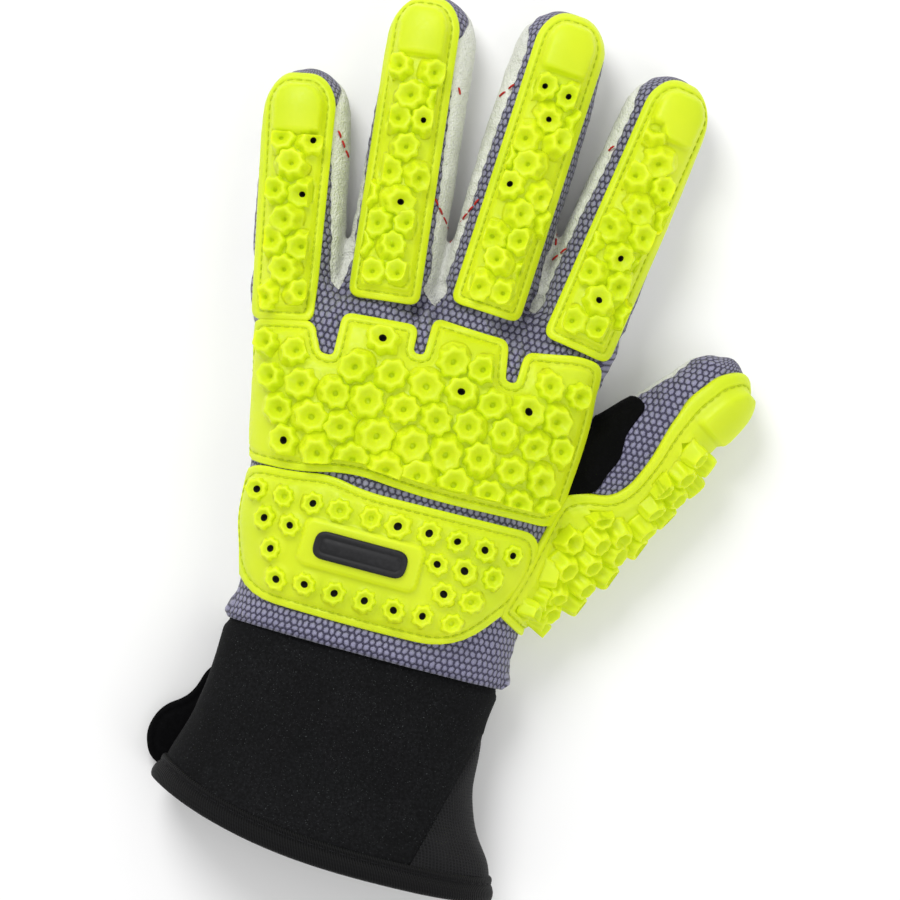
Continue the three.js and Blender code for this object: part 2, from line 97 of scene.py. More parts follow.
# Sections of palm, fingers and cuff: along the limb, sideways from its axis, half width, height of the top
PALM = limb_of(0, 0, 0, [
    (-57, 4, 44, 37), (-48, 4.7, 43.3, 38.5), (-38, 4, 44, 41), (-25, 2.5, 46, 42.5), (-10, 2.5, 47.1, 43),
    (5, 1.7, 49.3, 42.5), (20, 0.7, 51.8, 41), (32, -0.8, 53.3, 38), (43, -1.3, 53.3, 33), (54, -1, 47, 17),
])
LITTLE = [
    (0, 3.0, 8.0, 18), (10, 2.2, 10.2, 24), (22, 0.7, 13.1, 28), (40, 0.5, 13.7, 26), (66, 0.2, 14.0, 23),
    (84, 0.3, 13.3, 21.5),
]
RING = [(0, 0, 11, 25), (34, 0, 13.9, 31), (52, 0, 14.3, 28), (84, 0, 14.1, 24.5), (114.5, 0, 13.4, 22)]
MIDDLE = [(0, 0, 11, 25), (36, 0, 14.1, 31.5), (56, 0, 14.5, 28.5), (92, 0, 15, 25), (119.6, 0, 14, 22.5)]
INDEX = [(0, 0.6, 11.6, 24), (34, 1.0, 14.6, 30), (54, 0.6, 14.6, 27), (82, 0, 14, 24), (110, 0, 13.2, 22)]
THUMB = [
    (-14, 44.5, 13.5, 17), (5, 46, 17.6, 20), (25, 46, 18, 22), (45, 46.3, 16.8, 24), (62, 47.8, 14.4, 24.5),
    (81.5, 50.1, 12.1, 22.5),
]
FINGERS = {
    "little": limb_of(-10.8, -40.1, 15, LITTLE, 99, 0.56, 14.5, 28),
    "ring": limb_of(-5.2, -14.1, 15, RING, 129.5, 0.56, 15, 34),
    "middle": limb_of(2, 10, 15, MIDDLE, 134.6, -0.5, 12.8, 36),
    "index": limb_of(8.7, 33.4, 15, INDEX, 125, -0.5, 12.4, 36),
    "thumb": limb_of(30, 0, 0, THUMB, 96.5, -0.15, 12, 24),
}
CUFF = limb_of(0, 0, 0, [
    (-126, 5, 55.5, 47), (-110, 4.3, 53, 45), (-100, 2.5, 48.5, 42.5), (-90, 2, 44.8, 40.5),
    (-80, 2.3, 43.4, 39), (-70, 2.6, 42.7, 37.5), (-57.3, 3.6, 43.4, 36.5),
])

# Outlines seen from above, anticlockwise: x, y, radius of the corner
KNUCKLE_OUTLINE = [
    (-55, 33.5, 4), (-53, 10, 10), (-50, -9, 9), (-30, -8.6, 12), (-14, -4.3, 12), (10, -6.3, 12),
    (38, -5.4, 12), (50.5, -5.4, 8), (52.6, 24, 12), (51.4, 46.8, 5), (44, 47.6, 6), (27.4, 44.2, 3.2),
    (27.2, 34.2, 1.6), (23.9, 34.2, 1.6), (21.9, 46.4, 3.4), (-1.9, 47.2, 3.4), (-1.9, 35.3, 1.6),
    (-5.2, 35.3, 1.6), (-5.6, 43.6, 3.4), (-28.9, 41.8, 3.4), (-28.4, 28.2, 1.6), (-32.4, 28.2, 1.6),
    (-36.5, 37, 3.4),
]
WRIST_OUTLINE = [
    (-46, -9.6, 7), (-46.5, -24, 10), (-38.5, -48.8, 13), (0, -49.2, 20), (30, -48.6, 12), (45.6, -29, 8),
    (48, -16, 8), (45, -8, 7), (-8, -8.8, 12), (-20, -6.6, 12), (-30, -8.6, 12),
]
PATCH_OUTLINE = [
    (51, 5, 2), (59.4, 8.6, 2.5), (61.4, 14.8, 2), (64.4, 21, 3), (63.6, 27.4, 3), (68, 38.6, 3.5),
    (63.2, 41, 3), (53.2, 31.5, 1),
]
TAB_OUTLINE = [
    (-36, -70, 2), (-41.5, -74, 6), (-44.5, -84, 8), (-52.7, -89.5, 6), (-55.3, -98, 7), (-52.3, -105.5, 6),
    (-46, -108, 6), (-34, -104, 4),
]
RAISED_BOX = (-23, -34.8, 14, -20, 3)  # lowest and highest x and y of the raised panel, radius of its corners
INLAY_OUTLINE = [(-18.5, -23.2, 3.6), (-18.5, -31.6, 3.6), (9.5, -31.6, 3.6), (9.5, -23.2, 3.6)]
GUSSET_APEX = (45.0, -73.0)
GUSSET_FOOT = (33.2, -117.0)

# Finger guards: start and end along the finger, width, taper, shift sideways, lean in degrees, tip block
FINGER_GUARDS = {
    "little": (20.6, 96.6, 22.0, 3.2, -2.6, 0, 15),
    "ring": (33.6, 128, 21.2, 0, -3.2, -1.3, 15),
    "middle": (38, 133.3, 21.2, 0, 2.6, 0.9, 15),
    "index": (35, 123.6, 21.2, 0, 3.4, 0, 15),
    "thumb": (-10, 95.2, 23, 0, 0, 0, 17),
}
GUARD_FLOOR = 12.0  # how far the finger guards reach down the sides
WIDE_FLOOR = 19.0  # how far the wide guards reach down the sides
PATCH_FLOOR = 10.0
RED_THREAD_FLOOR = 4.0
TAB_Z = 2.6  # the height that the pull tab lies at
HAND_BEND = 68.0  # radius over which the rows of bosses bend at the sides of the hand
HEM_STITCH_Y = 5.8  # from the mouth to the line of stitches in the tape
FILLET_HEIGHT = 0.8  # the rise of a guard at the foot of a boss, and how wide it falls off
FILLET_WIDTH = 0.6
PIT_DEPTH = 1.4  # how far a guard sinks under a boss's funnel, over this share of its radius
PIT_SHARE = 0.62
THUMB_AXIS_Z = 9.6
THUMB_ROLL = 52.0  # degrees that the thumb's guard turns down towards the outside
THUMB_OUTLINE = [
    (-14, -10, 3), (11.5, -10, 3.5), (11.5, 88, 6), (7.4, 95.2, 6), (-0.6, 95.2, 6), (-7.6, 89.4, 6),
    (-9.8, 79, 8), (-10, 66, 8), (-7.6, 56, 6), (-6.4, 46, 5), (-7.4, 40, 5), (-12.4, 34, 5), (-14, 28, 4),
]
# Rows of bosses: steps across and along, a first place across and along, radius
KNUCKLE_ROWS = (10.7, 9.05, -4.2, -0.6, 5.0)
WRIST_ROWS = (9.1, 8.1, -0.2, -40.6, 3.7)
FINGER_ROWS = (8.5, 7.9, 4.2, 7.6, 4.45)  # places along count from the guard's start here and on the thumb
THUMB_ROWS = (7.2, 6.5, 0.0, 5.0, 3.9)
# Bosses: height, lean to the skin, spread of the tilt, push sideways, width of the hole, share of holes
# painted dark with shade
KNUCKLE_BOSSES = (4.5, 0.5, 0.22, 0.0, 0.85, 0.13)
WRIST_BOSSES = (2.9, 0.5, 0.06, 0.0, 1.3, 0.85)
FINGER_BOSSES = (4.5, 0.35, 0.34, 0.0, 0.65, 0.13)
THUMB_BOSSES = (5.2, 0.85, 0.25, 0.3, 1.0, 0.06)
RED_STITCHES = [
    ((-45.5, 95.8), (-40.0, 88.1)), ((-13.4, 118.3), (-11.4, 114.4)), ((-11.5, 83.1), (-3.7, 73.9)),
    ((2.1, 86.5), (-3.7, 73.9)), ((-3.7, 73.9), (-3.3, 71.4)), ((3.6, 123.4), (-0.7, 117.9)),
    ((27.2, 84.6), (28.2, 78.6)), ((31.9, 78.9), (28.2, 73.9)), ((37.9, 113.1), (36.3, 110.8)),
]
FOLDS = [  # creases of the knit seen from above: start, end, depth, width
    ((-30.4, 48.7), (-6.9, 49.3), -1.2, 2.2), ((2.8, 54.4), (21.4, 49.9), -1.2, 2.2),
    ((30.6, 50.8), (50.4, 47.6), -1.1, 2.0), ((-3.4, 36.4), (-4.5, 48.7), 0.9, 1.5),
    ((-7.5, 45.0), (-5.5, 56.0), -0.9, 1.2), ((-1.5, 47.0), (-2.5, 58.0), -0.9, 1.2),
    ((24.5, 38.0), (26.5, 56.0), 0.8, 1.6), ((21.0, 50.0), (28.0, 62.0), -0.8, 1.3),
    ((-34.0, 33.0), (-29.0, 47.0), 0.8, 1.6),
]
INLAY_PROFILE = [(0.0, -0.5), (0.3, -0.1), (0.9, 0), (1.5, 0), (1.8, -0.3), (2.2, -0.3), (2.5, 0)]
PATCH_PROFILE = [(0.0, 0.5), (0.2, 0.9), (0.6, 1.15), (1.4, 1.2), (2.2, 1.2)]
TAB_PROFILE = [(0.0, 2.4), (0.25, 3.0), (0.8, 3.4), (1.8, 3.3), (2.4, 3.0), (3.0, 3.4), (4.0, 3.5)]
# The photo's view: its size, scale, middle in the glove's millimetres, and the glove's turn in it
PHOTO_PIXELS = 900
PHOTO_MM_PER_PIXEL = 0.305
PHOTO_MIDDLE = (13.15, 9.84)
PHOTO_TURN = 15
VIEW_HEIGHT = 24  # the height over the floor at which that scale holds
LENS = 200.0
SENSOR = 36.0
# Loops of thread: share of the stitch, height, share of the thickness
GUARD_STITCH = ((0.0, -0.25, 0.5), (0.12, 0.05, 0.9), (0.5, 0.16, 1.0), (0.88, 0.05, 0.9), (1.0, -0.25, 0.5))
HEM_STITCH = ((0.0, -0.2, 0.5), (0.15, 0.06, 0.9), (0.5, 0.14, 1.0), (0.85, 0.06, 0.9), (1.0, -0.2, 0.5))


def smooth_between(x, xs, ys):
    """A smooth curve through the points, with no overshoot."""
    xs, ys = np.asarray(xs, float), np.asarray(ys, float)
    step = np.diff(xs)
    slope = np.diff(ys) / step
    tangent = np.zeros_like(ys)
    both = slope[:-1] * slope[1:] > 0
    mean = (slope[:-1] * step[1:] + slope[1:] * step[:-1]) / (step[1:] + step[:-1])
    tangent[1:-1] = np.where(both, mean, 0)
    tangent[0], tangent[-1] = slope[0], slope[-1]
    i = np.clip(np.searchsorted(xs, x) - 1, 0, len(step) - 1)
    t = np.clip((x - xs[i]) / step[i], 0, 1)
    a, b = ys[i], ys[i + 1]
    ta, tb = tangent[i] * step[i], tangent[i + 1] * step[i]
    t2, t3 = t * t, t * t * t
    return a * (2 * t3 - 3 * t2 + 1) + ta * (t3 - 2 * t2 + t) + b * (3 * t2 - 2 * t3) + tb * (t3 - t2)


def smoothstep(low_edge, high_edge, x):
    """Zero at the low edge, one at the high edge, with a smooth rise between."""
    t = np.clip((x - low_edge) / (high_edge - low_edge), 0, 1)
    return t * t * (3 - 2 * t)


def bell(distance, width):
    """One at no distance, falling off smoothly over a width."""
    return np.exp(-((distance / width) ** 2))


def section(limb, along):
    """Sideways centre, half width and top height at places along a limb."""
    rows = np.array(limb["rows"], float)
    return [smooth_between(np.asarray(along, float), rows[:, 0], rows[:, k]) for k in (1, 2, 3)]


def axes(degrees):
    """Directions along and across a limb whose axis is turned from the glove's."""
    angle = math.radians(degrees)
    along = np.array([math.sin(angle), math.cos(angle), 0.0])
    side = np.array([math.cos(angle), -math.sin(angle), 0.0])
    return along, side


def place(limb, along, side, z):
    """Points of the glove at places along, sideways and above a limb's axis."""
    d_along, d_side = axes(limb["angle"])
    along, side, z = np.broadcast_arrays(along, side, z)
    start = np.array([limb["x"], limb["y"], 0.0])
    up = np.array([0.0, 0.0, 1.0])
    return start + along[..., None] * d_along + side[..., None] * d_side + z[..., None] * up


def local(limb, points):
    """The along and sideways coordinates of points."""
    d_along, d_side = axes(limb["angle"])
    from_start = points - np.array([limb["x"], limb["y"], 0.0])
    return from_start @ d_along, from_start @ d_side


def oval(limb, turn, along, offset=0.0, scale=1.0, shift=0.0):
    """Points round a section: half an ellipse above, and a fuller half below that the floor cuts."""
    side, half, top = section(limb, along)
    mid = top * MID_SHARE
    c, s = np.cos(turn), np.sin(turn)
    below = s < 0
    across = np.where(below, np.sign(c) * np.abs(c) ** FULLNESS, c) * (half + offset) * scale
    rise = (top - mid + offset) * scale
    drop = (mid + UNDERCUT + offset) * scale
    z = np.where(below, mid - np.abs(s) ** FULLNESS * drop, mid + s * rise)
    return place(limb, along + shift, side + across, np.maximum(z, max(0.0, -offset)))


def full_turn(count):
    """Angles evenly round a circle."""
    return np.linspace(0, 2 * np.pi, count, endpoint=False)


def limb_loft(limb, count, before=0.0):
    """The closed form of a limb, round at its end where it has a tip."""
    step = 2.5
    first, last = limb["rows"][0][0] - before, limb["rows"][-1][0]
    turn = full_turn(count)
    rings = [oval(limb, turn, a) for a in np.linspace(first, last, int((last - first) / step) + 2)]
    if limb["tip"]:
        for angle in np.radians(TIP_TURNS):
            rings.append(oval(limb, turn, last, scale=math.cos(angle), shift=TIP_ROUND * math.sin(angle)))
    return closed_loft(np.array(rings))


def grid_faces(rows, columns):
    """Quads of a grid of points, whose columns close on themselves."""
    i, k = np.meshgrid(np.arange(rows - 1), np.arange(columns), indexing="ij")
    nxt = (k + 1) % columns
    quads = np.stack([i * columns + k, (i + 1) * columns + k, (i + 1) * columns + nxt, i * columns + nxt], -1)
    return quads.reshape(-1, 4)


def closed_loft(rings):
    """Vertices and faces of a loft with both ends capped."""
    rows, columns = rings.shape[:2]
    verts = np.vstack([rings.reshape(-1, 3), rings[0].mean(0), rings[-1].mean(0)])
    faces = [tuple(f) for f in grid_faces(rows, columns)]
    start, end = rows * columns, rows * columns + 1
    top = (rows - 1) * columns
    for k in range(columns):
        nxt = (k + 1) % columns
        faces += [(start, k, nxt), (end, top + nxt, top + k)]
    return verts, faces


def make_object(name, verts, faces):
    """A smooth mesh object from points in the glove's millimetres."""
    mesh = bpy.data.meshes.new(name)
    coords = (np.asarray(verts, float) - ORIGIN) * MM
    mesh.from_pydata(coords.tolist(), [], [tuple(int(i) for i in f) for f in faces])
    mesh.validate()
    mesh.update()
    mesh.shade_smooth()
    ob = bpy.data.objects.new(name, mesh)
    bpy.context.scene.collection.objects.link(ob)
    return ob


def join_lists(parts):
    """Joins several (verts, faces) into one."""
    starts = np.cumsum([0] + [len(verts) for verts, _ in parts]).tolist()
    faces = [tuple(int(i) + start for i in face) for (_, own), start in zip(parts, starts) for face in own]
    return np.vstack([verts for verts, _ in parts]), faces


def mesh_arrays(mesh):
    """A mesh's points in the glove's millimetres, and its triangles."""
    mesh.calc_loop_triangles()
    co = np.zeros(len(mesh.vertices) * 3)
    mesh.vertices.foreach_get("co", co)
    tris = np.zeros(len(mesh.loop_triangles) * 3, int)
    mesh.loop_triangles.foreach_get("vertices", tris)
    return co.reshape(-1, 3) / MM + ORIGIN, tris.reshape(-1, 3)


def unit(vectors):
    """The same directions with a length of one."""
    return vectors / np.maximum(np.linalg.norm(vectors, axis=-1, keepdims=True), 1e-12)


def running_length(line):
    """How far along a line of points each of them lies."""
    return np.concatenate([[0], np.cumsum(np.linalg.norm(np.diff(line, axis=0), axis=1))])


def vertex_normals(points, tris):
    """Mean directions of the triangles round each point, weighted by their areas."""
    a, b, c = (points[tris[:, i]] for i in range(3))
    face = np.cross(b - a, c - a)
    out = np.zeros_like(points)
    for i in range(3):
        np.add.at(out, tris[:, i], face)
    return unit(out)


def sandwich(top, bottom, tris):
    """A closed sheet between two copies of the same triangles, with walls at their open edges."""
    count = len(top)
    tris = tris.tolist()
    edges = dict.fromkeys(edge for a, b, c in tris for edge in ((a, b), (b, c), (c, a)))
    walls = [(b, a, a + count, b + count) for a, b in edges if (b, a) not in edges]
    return np.vstack([top, bottom]), tris + [(a + count, c + count, b + count) for a, b, c in tris] + walls


def neighbour_mean(values, tris, count, rounds):
    """Values of the vertices, averaged with their neighbours for some rounds."""
    edges = np.vstack([tris[:, [0, 1]], tris[:, [1, 2]], tris[:, [2, 0]]])
    edges = np.vstack([edges, edges[:, ::-1]])
    share = np.bincount(edges[:, 0], minlength=count).astype(float)
    for _ in range(rounds):
        total = np.stack([np.bincount(edges[:, 0], v, minlength=count) for v in values[edges[:, 1]].T], 1)
        values = 0.5 * values + 0.5 * total / np.maximum(share, 1)[:, None]
    return values


def lumps(points, size, seed):
    """Smooth noise from about -1 to 1 at points in millimetres."""
    start = Vector((seed * 17.3, seed * 5.1, seed * 9.7))
    return np.array([noise.noise(Vector(p) / size + start) for p in points])


def split(points, tris, values):
    """Cuts a mesh where values pass zero and keeps the side where they are positive, with a clean edge."""
    v = np.where(np.abs(values) < 1e-6, 1e-6, values)
    wanted = v > 0
    count = wanted[tris].sum(1)
    kept = [tris[count == 3]]
    new_points, cut = [], {}

    def crossing(i, j):
        key = (min(i, j), max(i, j))
        if key not in cut:
            t = v[i] / (v[i] - v[j])
            cut[key] = len(points) + len(new_points)
            new_points.append((i, j, t))
        return cut[key]

    extra = []
    for tri in tris[(count == 1) | (count == 2)]:
        a, b, c = (int(i) for i in tri)
        while not (wanted[a] and not wanted[c]):
            a, b, c = b, c, a
        if wanted[b]:
            bc, ca = crossing(b, c), crossing(a, c)
            extra += [(a, b, bc), (a, bc, ca)]
        else:
            extra.append((a, crossing(a, b), crossing(a, c)))
    if extra:
        kept.append(np.array(extra, int))
    made = np.array([points[i] + (points[j] - points[i]) * t for i, j, t in new_points]).reshape(-1, 3)
    every = np.vstack([points, made])
    tris = np.vstack(kept)
    used, tris = np.unique(tris, return_inverse=True)
    return every[used], tris.reshape(-1, 3)


# Body of the hand

def build_body():
    """One smooth closed skin round the overlapping forms of the palm and the fingers."""
    lofts = [limb_loft(PALM, 96, before=8)] + [limb_loft(limb, 56) for limb in FINGERS.values()]
    ob = make_object("hand_skin", *join_lists(lofts))
    remesh = ob.modifiers.new("skin", "REMESH")
    remesh.mode = "VOXEL"
    remesh.voxel_size = VOXEL * MM
    soften = ob.modifiers.new("soften", "SMOOTH")
    soften.factor = 0.5
    soften.iterations = 10
    graph = bpy.context.evaluated_depsgraph_get()
    skin = mesh_arrays(bpy.data.meshes.new_from_object(ob.evaluated_get(graph)))
    bpy.data.objects.remove(ob)
    return skin


def finger_weights(points, blend=0.0):
    """How much each finger rules at each point, from 0 on the palm to 1 past its crotch."""
    weights = {}
    for name, limb in FINGERS.items():
        along, side = local(limb, points)
        centre, half, _ = section(limb, along)
        near = 1 - smoothstep(0.95, 1.15, np.abs(side - centre) / half)
        weights[name] = near * smoothstep(limb["root"] - blend, limb["root"] + 12, along)
    total = sum(weights.values())
    past_palm = np.maximum(smoothstep(*PALM_END, points[:, 1]), smoothstep(*THUMB_SIDE, points[:, 0]))
    scale = 1 / np.maximum(total, 1 - 0.98 * past_palm)
    return {name: w * scale for name, w in weights.items()}


def seam_height(points):
    """Height of each point over the seam between the knitted back and the leather palm."""
    value = points[:, 2] - SEAM_Z
    result = value.copy()
    for name, weight in finger_weights(points, 16).items():
        limb = FINGERS[name]
        along, side = local(limb, points)
        centre, _, _ = section(limb, along)
        slant = (side - centre) * limb["tilt"]
        if name in ("ring", "middle"):
            root = 1 - smoothstep(58, 92, along)
            slant = np.where(slant < 0, slant * (1 - root) + 1.5 * root, slant)
        over = points[:, 2] - (limb["seam"] + slant)
        past = smoothstep(limb["tip"] - 16, limb["tip"], along)
        over = over * (1 - past) + past * (points[:, 2] - 0.55 * limb["seam"])
        result += weight * (over - value)
    return result


def arc_of(half, rise, across):
    """Arc length from the top of an ellipse to a sideways distance, carried on in a line past its side."""
    ratio = np.clip(np.abs(across) / half, 0, 0.985)
    turn = np.arcsin(ratio)
    steps = 24
    length = np.zeros_like(turn)
    for k in range(steps):
        t = turn * (k + 0.5) / steps
        length += np.hypot(half * np.cos(t), rise * np.sin(t)) * turn / steps
    return np.sign(across) * (length + (np.abs(across) - ratio * half) * 0.5)


def weave_places(points):
    """Flat coordinates of the knit, in millimetres: across and along, unrolled over each limb."""
    centre, half, top = section(PALM, points[:, 1])
    across = points[:, 0] - centre
    below = np.maximum(0, top * MID_SHARE - points[:, 2])
    arc = arc_of(half, top * (1 - MID_SHARE), across) + np.sign(across) * below
    flat = np.stack([arc, points[:, 1]], 1)
    result = flat.copy()
    for name, weight in finger_weights(points).items():
        limb = FINGERS[name]
        along, side = local(limb, points)
        centre, half, top = section(limb, along)
        mid = top * MID_SHARE
        turn = np.arctan2(side - centre, np.maximum(points[:, 2] - mid, -half))
        angle = math.radians(limb["angle"])
        u, v = centre + turn * half, along
        end = smoothstep(limb["tip"] - 14, limb["tip"], along)
        v = v + end * (mid + 8 - points[:, 2]).clip(0) * 0.9
        moved = np.stack([
            u * math.cos(angle) + v * math.sin(angle),
            v * math.cos(angle) - u * math.sin(angle),
        ], 1)
        root = (weight > 0.1) & (weight < 0.6)
        moved += (flat[root] - moved[root]).mean(0)
        result += weight[:, None] * (moved - flat)
    return result


class Drape:
    """Plan coordinates on a plane, dropped along its normal onto a skin.

    Places that would land below the floor height take the nearest point of the skin at that height.
    The normal lies midway between the skin's and the plane's.
    """

    def __init__(self, tree, origin, across, along, floor):
        self.tree, self.origin, self.floor = tree, origin, floor
        self.across, self.along, self.up = across, along, np.cross(across, along)

    def __call__(self, flat):
        base = self.origin + flat[:, :1] * self.across + flat[:, 1:2] * self.along
        level = self.origin @ self.up + self.floor
        hits, normals = [], []
        for b in base:
            spot, normal, _, _ = self.tree.ray_cast(Vector(b + self.up * 90), Vector(-self.up), 180)
            if spot is None or np.array(spot) @ self.up < level:
                spot, normal, _, _ = self.tree.find_nearest(Vector(b + self.up * self.floor))
            hits.append(spot)
            normals.append(normal)
        return np.array(hits), unit(np.array(normals) + self.up)


def drape_from_above(tree, floor):
    """The glove's own plane, dropped straight down."""
    return Drape(tree, np.zeros(3), np.array([1.0, 0.0, 0.0]), np.array([0.0, 1.0, 0.0]), floor)


def flat_map(z):
    """A level plane, for pieces that lie flat."""

    def mapped(flat):
        points = np.column_stack([flat, np.full(len(flat), z)])
        return points, np.tile([0.0, 0.0, 1.0], (len(flat), 1))

    return mapped


# Outlines

def inset(corners, distance):
    """Moves every edge of an anticlockwise outline inwards."""
    points = np.array([c[:2] for c in corners], float)
    radii = [c[2] for c in corners]
    ahead = np.roll(points, -1, 0) - points
    ahead /= np.linalg.norm(ahead, axis=1, keepdims=True)
    moved = points + np.stack([-ahead[:, 1], ahead[:, 0]], 1) * distance
    result = []
    for i in range(len(points)):
        a, b = ahead[i - 1], ahead[i]
        turn = a[0] * b[1] - a[1] * b[0]
        gap = moved[i] - moved[i - 1]
        t = 0 if abs(turn) < 0.05 else (gap[0] * b[1] - gap[1] * b[0]) / turn
        at = moved[i] if abs(turn) < 0.05 else moved[i - 1] + a * t
        result.append((at[0], at[1], max(0.8, radii[i] - np.sign(turn) * distance)))
    return result


def rounded(corners, per_corner=7, spacing=2.0):
    """Points of an outline with rounded corners. Its count depends on the corners alone."""
    points = [np.array(c[:2], float) for c in corners]
    arcs = []
    for i, (p, c) in enumerate(zip(points, corners)):
        before, after = points[i - 1], points[(i + 1) % len(points)]
        reach = min(c[2], np.linalg.norm(p - before) / 2.05, np.linalg.norm(p - after) / 2.05)
        a = p + (before - p) / np.linalg.norm(before - p) * reach
        b = p + (after - p) / np.linalg.norm(after - p) * reach
        t = np.linspace(0, 1, per_corner)[:, None]
        arcs.append(a * (1 - t) ** 2 + 2 * p * t * (1 - t) + b * t * t)
    out = []
    for i, arc in enumerate(arcs):
        out += list(arc)
        gap = arcs[(i + 1) % len(arcs)][0] - arc[-1]
        edge = np.linalg.norm(points[(i + 1) % len(points)] - points[i])
        fill = int(edge / spacing)
        out += [arc[-1] + gap * (k + 1) / (fill + 1) for k in range(fill)]
    return np.array(out)


def inside(outline, points):
    """Which points lie inside a closed outline."""
    x, y = points[:, 0], points[:, 1]
    result = np.zeros(len(points), bool)
    for a, b in zip(outline, np.roll(outline, -1, 0)):
        if a[1] != b[1]:
            crosses = ((a[1] > y) != (b[1] > y)) & (x < (b[0] - a[0]) * (y - a[1]) / (b[1] - a[1]) + a[0])
            result ^= crosses
    return result


def nearest_on(outline, points):
    """The nearest point of a closed outline to each point."""
    best = np.full(len(points), np.inf)
    spot = points.copy()
    for a, b in zip(outline, np.roll(outline, -1, 0)):
        ab = b - a
        t = np.clip(((points - a) @ ab) / max(ab @ ab, 1e-9), 0, 1)
        q = a + t[:, None] * ab
        d = np.linalg.norm(points - q, axis=1)
        closer = d < best
        best[closer], spot[closer] = d[closer], q[closer]
    return spot, best


def round_box_distance(points, box):
    """Signed distance into a rounded rectangle: positive inside."""
    x0, y0, x1, y1, radius = box
    centre, half = np.array([(x0 + x1) / 2, (y0 + y1) / 2]), np.array([(x1 - x0) / 2, (y1 - y0) / 2]) - radius
    q = np.abs(points - centre) - half
    outside = np.linalg.norm(np.maximum(q, 0), axis=1) + np.minimum(q.max(1), 0)
    return radius - outside


# Plates: a moulded or cut sheet over a skin

def plate(corners, profile, mapper, spacing, extra=None, foot=-0.2, smooth_normals=0):
    """A closed sheet. profile lists (inset, height) from the edge inwards, and extra adds height."""
    rings = [rounded(inset(corners, d)) for d, _ in profile]
    height, edges, start = [], [], 0
    for ring, (_, h) in zip(rings, profile):
        n = len(ring)
        height += [h] * n
        edges += [(start + i, start + (i + 1) % n) for i in range(n)]
        start += n
    last = rings[-1]
    lo, hi = last.min(0), last.max(0)
    xs = np.arange(lo[0], hi[0], spacing)
    ys = np.arange(lo[1], hi[1], spacing * 0.866)
    grid = np.array([(x + (j % 2) * spacing / 2, y) for j, y in enumerate(ys) for x in xs])
    grid = grid[inside(last, grid)]
    grid = grid[nearest_on(last, grid)[1] > spacing * 0.6]
    flat = np.vstack(rings + [grid])
    height = np.array(height + [profile[-1][1]] * len(grid))
    out = delaunay_2d_cdt([Vector(p) for p in flat], edges, [list(range(len(rings[0])))], 1, 1e-5)
    spots = np.array([tuple(p) for p in out[0]])
    level = np.array([height[o[0]] if o else profile[-1][1] for o in out[3]])
    tris = np.array([f for f in out[2] if len(f) == 3])
    if extra is not None:
        level = level + extra(spots)
    hits, normal = mapper(spots)
    if smooth_normals:
        normal = unit(neighbour_mean(normal, tris, len(normal), smooth_normals))
    return sandwich(hits + normal * level[:, None], hits + normal * foot, tris)


def closed(line):
    """A line of points that returns to its start."""
    return np.vstack([line, line[:1]])


def stitch_ends(line, length, gap, lead=0.0):
    """Places of both ends of stitches laid end to end along a line."""
    reach = running_length(line)
    count = max(1, int(reach[-1] / (length + gap)))
    starts = (np.arange(count) + lead) * reach[-1] / count
    return [np.stack([np.interp(at, reach, column) for column in line.T], 1)
            for at in (starts, starts + length)]


def thread_loops(starts, ends, ups, loop, thick, height=0.0):
    """A short loop of thread between each start and end."""
    turn = full_turn(6)[:, None]
    parts = []
    for p, q, up in zip(starts, ends, ups):
        side = unit(np.cross(q - p, up))
        rings = []
        for share, lift, fat in loop:
            centre = p + (q - p) * share + up * (height + lift)
            rings.append(centre + thick * fat * (np.cos(turn) * side + np.sin(turn) * up))
        parts.append(closed_loft(np.array(rings)))
    return join_lists(parts)


def stitches(line, mapper, height, length=1.9, gap=0.8, thick=0.27):
    """Short thread loops laid end to end along a flat line, over a skin."""
    starts, ends = stitch_ends(line, length, gap, lead=0.15)
    a, normal_a = mapper(starts)
    b, normal_b = mapper(ends)
    return thread_loops(a, b, unit(normal_a + normal_b), GUARD_STITCH, thick, height)


# Bosses: lobed tubes with a funnel, and a hole painted dark for the cloth beneath it and the shade deep in it

BOSS_LEVELS = [  # share of the radius, height as a share of the boss, depth of the lobes
    (1.28, -0.15, 0.02), (1.15, 0.0, 0.05), (1.06, 0.14, 0.08), (1.0, 0.36, 0.10), (0.97, 0.6, 0.10),
    (0.94, 0.78, 0.085), (0.88, 0.91, 0.065), (0.81, 0.98, 0.05), (0.73, 1.0, 0.035), (0.64, 0.96, 0.025),
    (0.55, 0.86, 0.01), (0.46, 0.74, 0), (0.36, 0.63, 0), (0.27, 0.55, 0), (0.22, 0.44, 0), (0.20, 0.06, 0),
]
BOSS_SIDES = 42
SIDE_FACES = (len(BOSS_LEVELS) - 1) * BOSS_SIDES
FIRST_DARK = SIDE_FACES - 2 * BOSS_SIDES  # where the two lowest rings of the funnel begin


def boss(radius, tall, lobes, phase, hole, cut):
    """Rings of one boss in its own frame. cut moves its flat points back inside the field."""
    turn = full_turn(BOSS_SIDES)
    uneven = 1 + 0.05 * np.cos(2 * turn + 3 * phase)
    rings = []
    for share, level, lobe in BOSS_LEVELS:
        share = share * (1 + (hole - 1) * max(0.0, 1 - share / 0.7))
        r = radius * (share + lobe * np.cos(lobes * turn + phase)) * uneven
        flat = cut(np.stack([r * np.cos(turn), r * np.sin(turn)], 1))
        rings.append(np.column_stack([flat, np.full(BOSS_SIDES, tall * level)]))
    return np.array(rings)


def in_funnel(face):
    """Whether a face is painted dark as shade in the hole: its lowest rings and its floor, which alternates
    with the foot.
    """
    return FIRST_DARK <= face < SIDE_FACES or (face > SIDE_FACES and (face - SIDE_FACES) % 2 == 1)


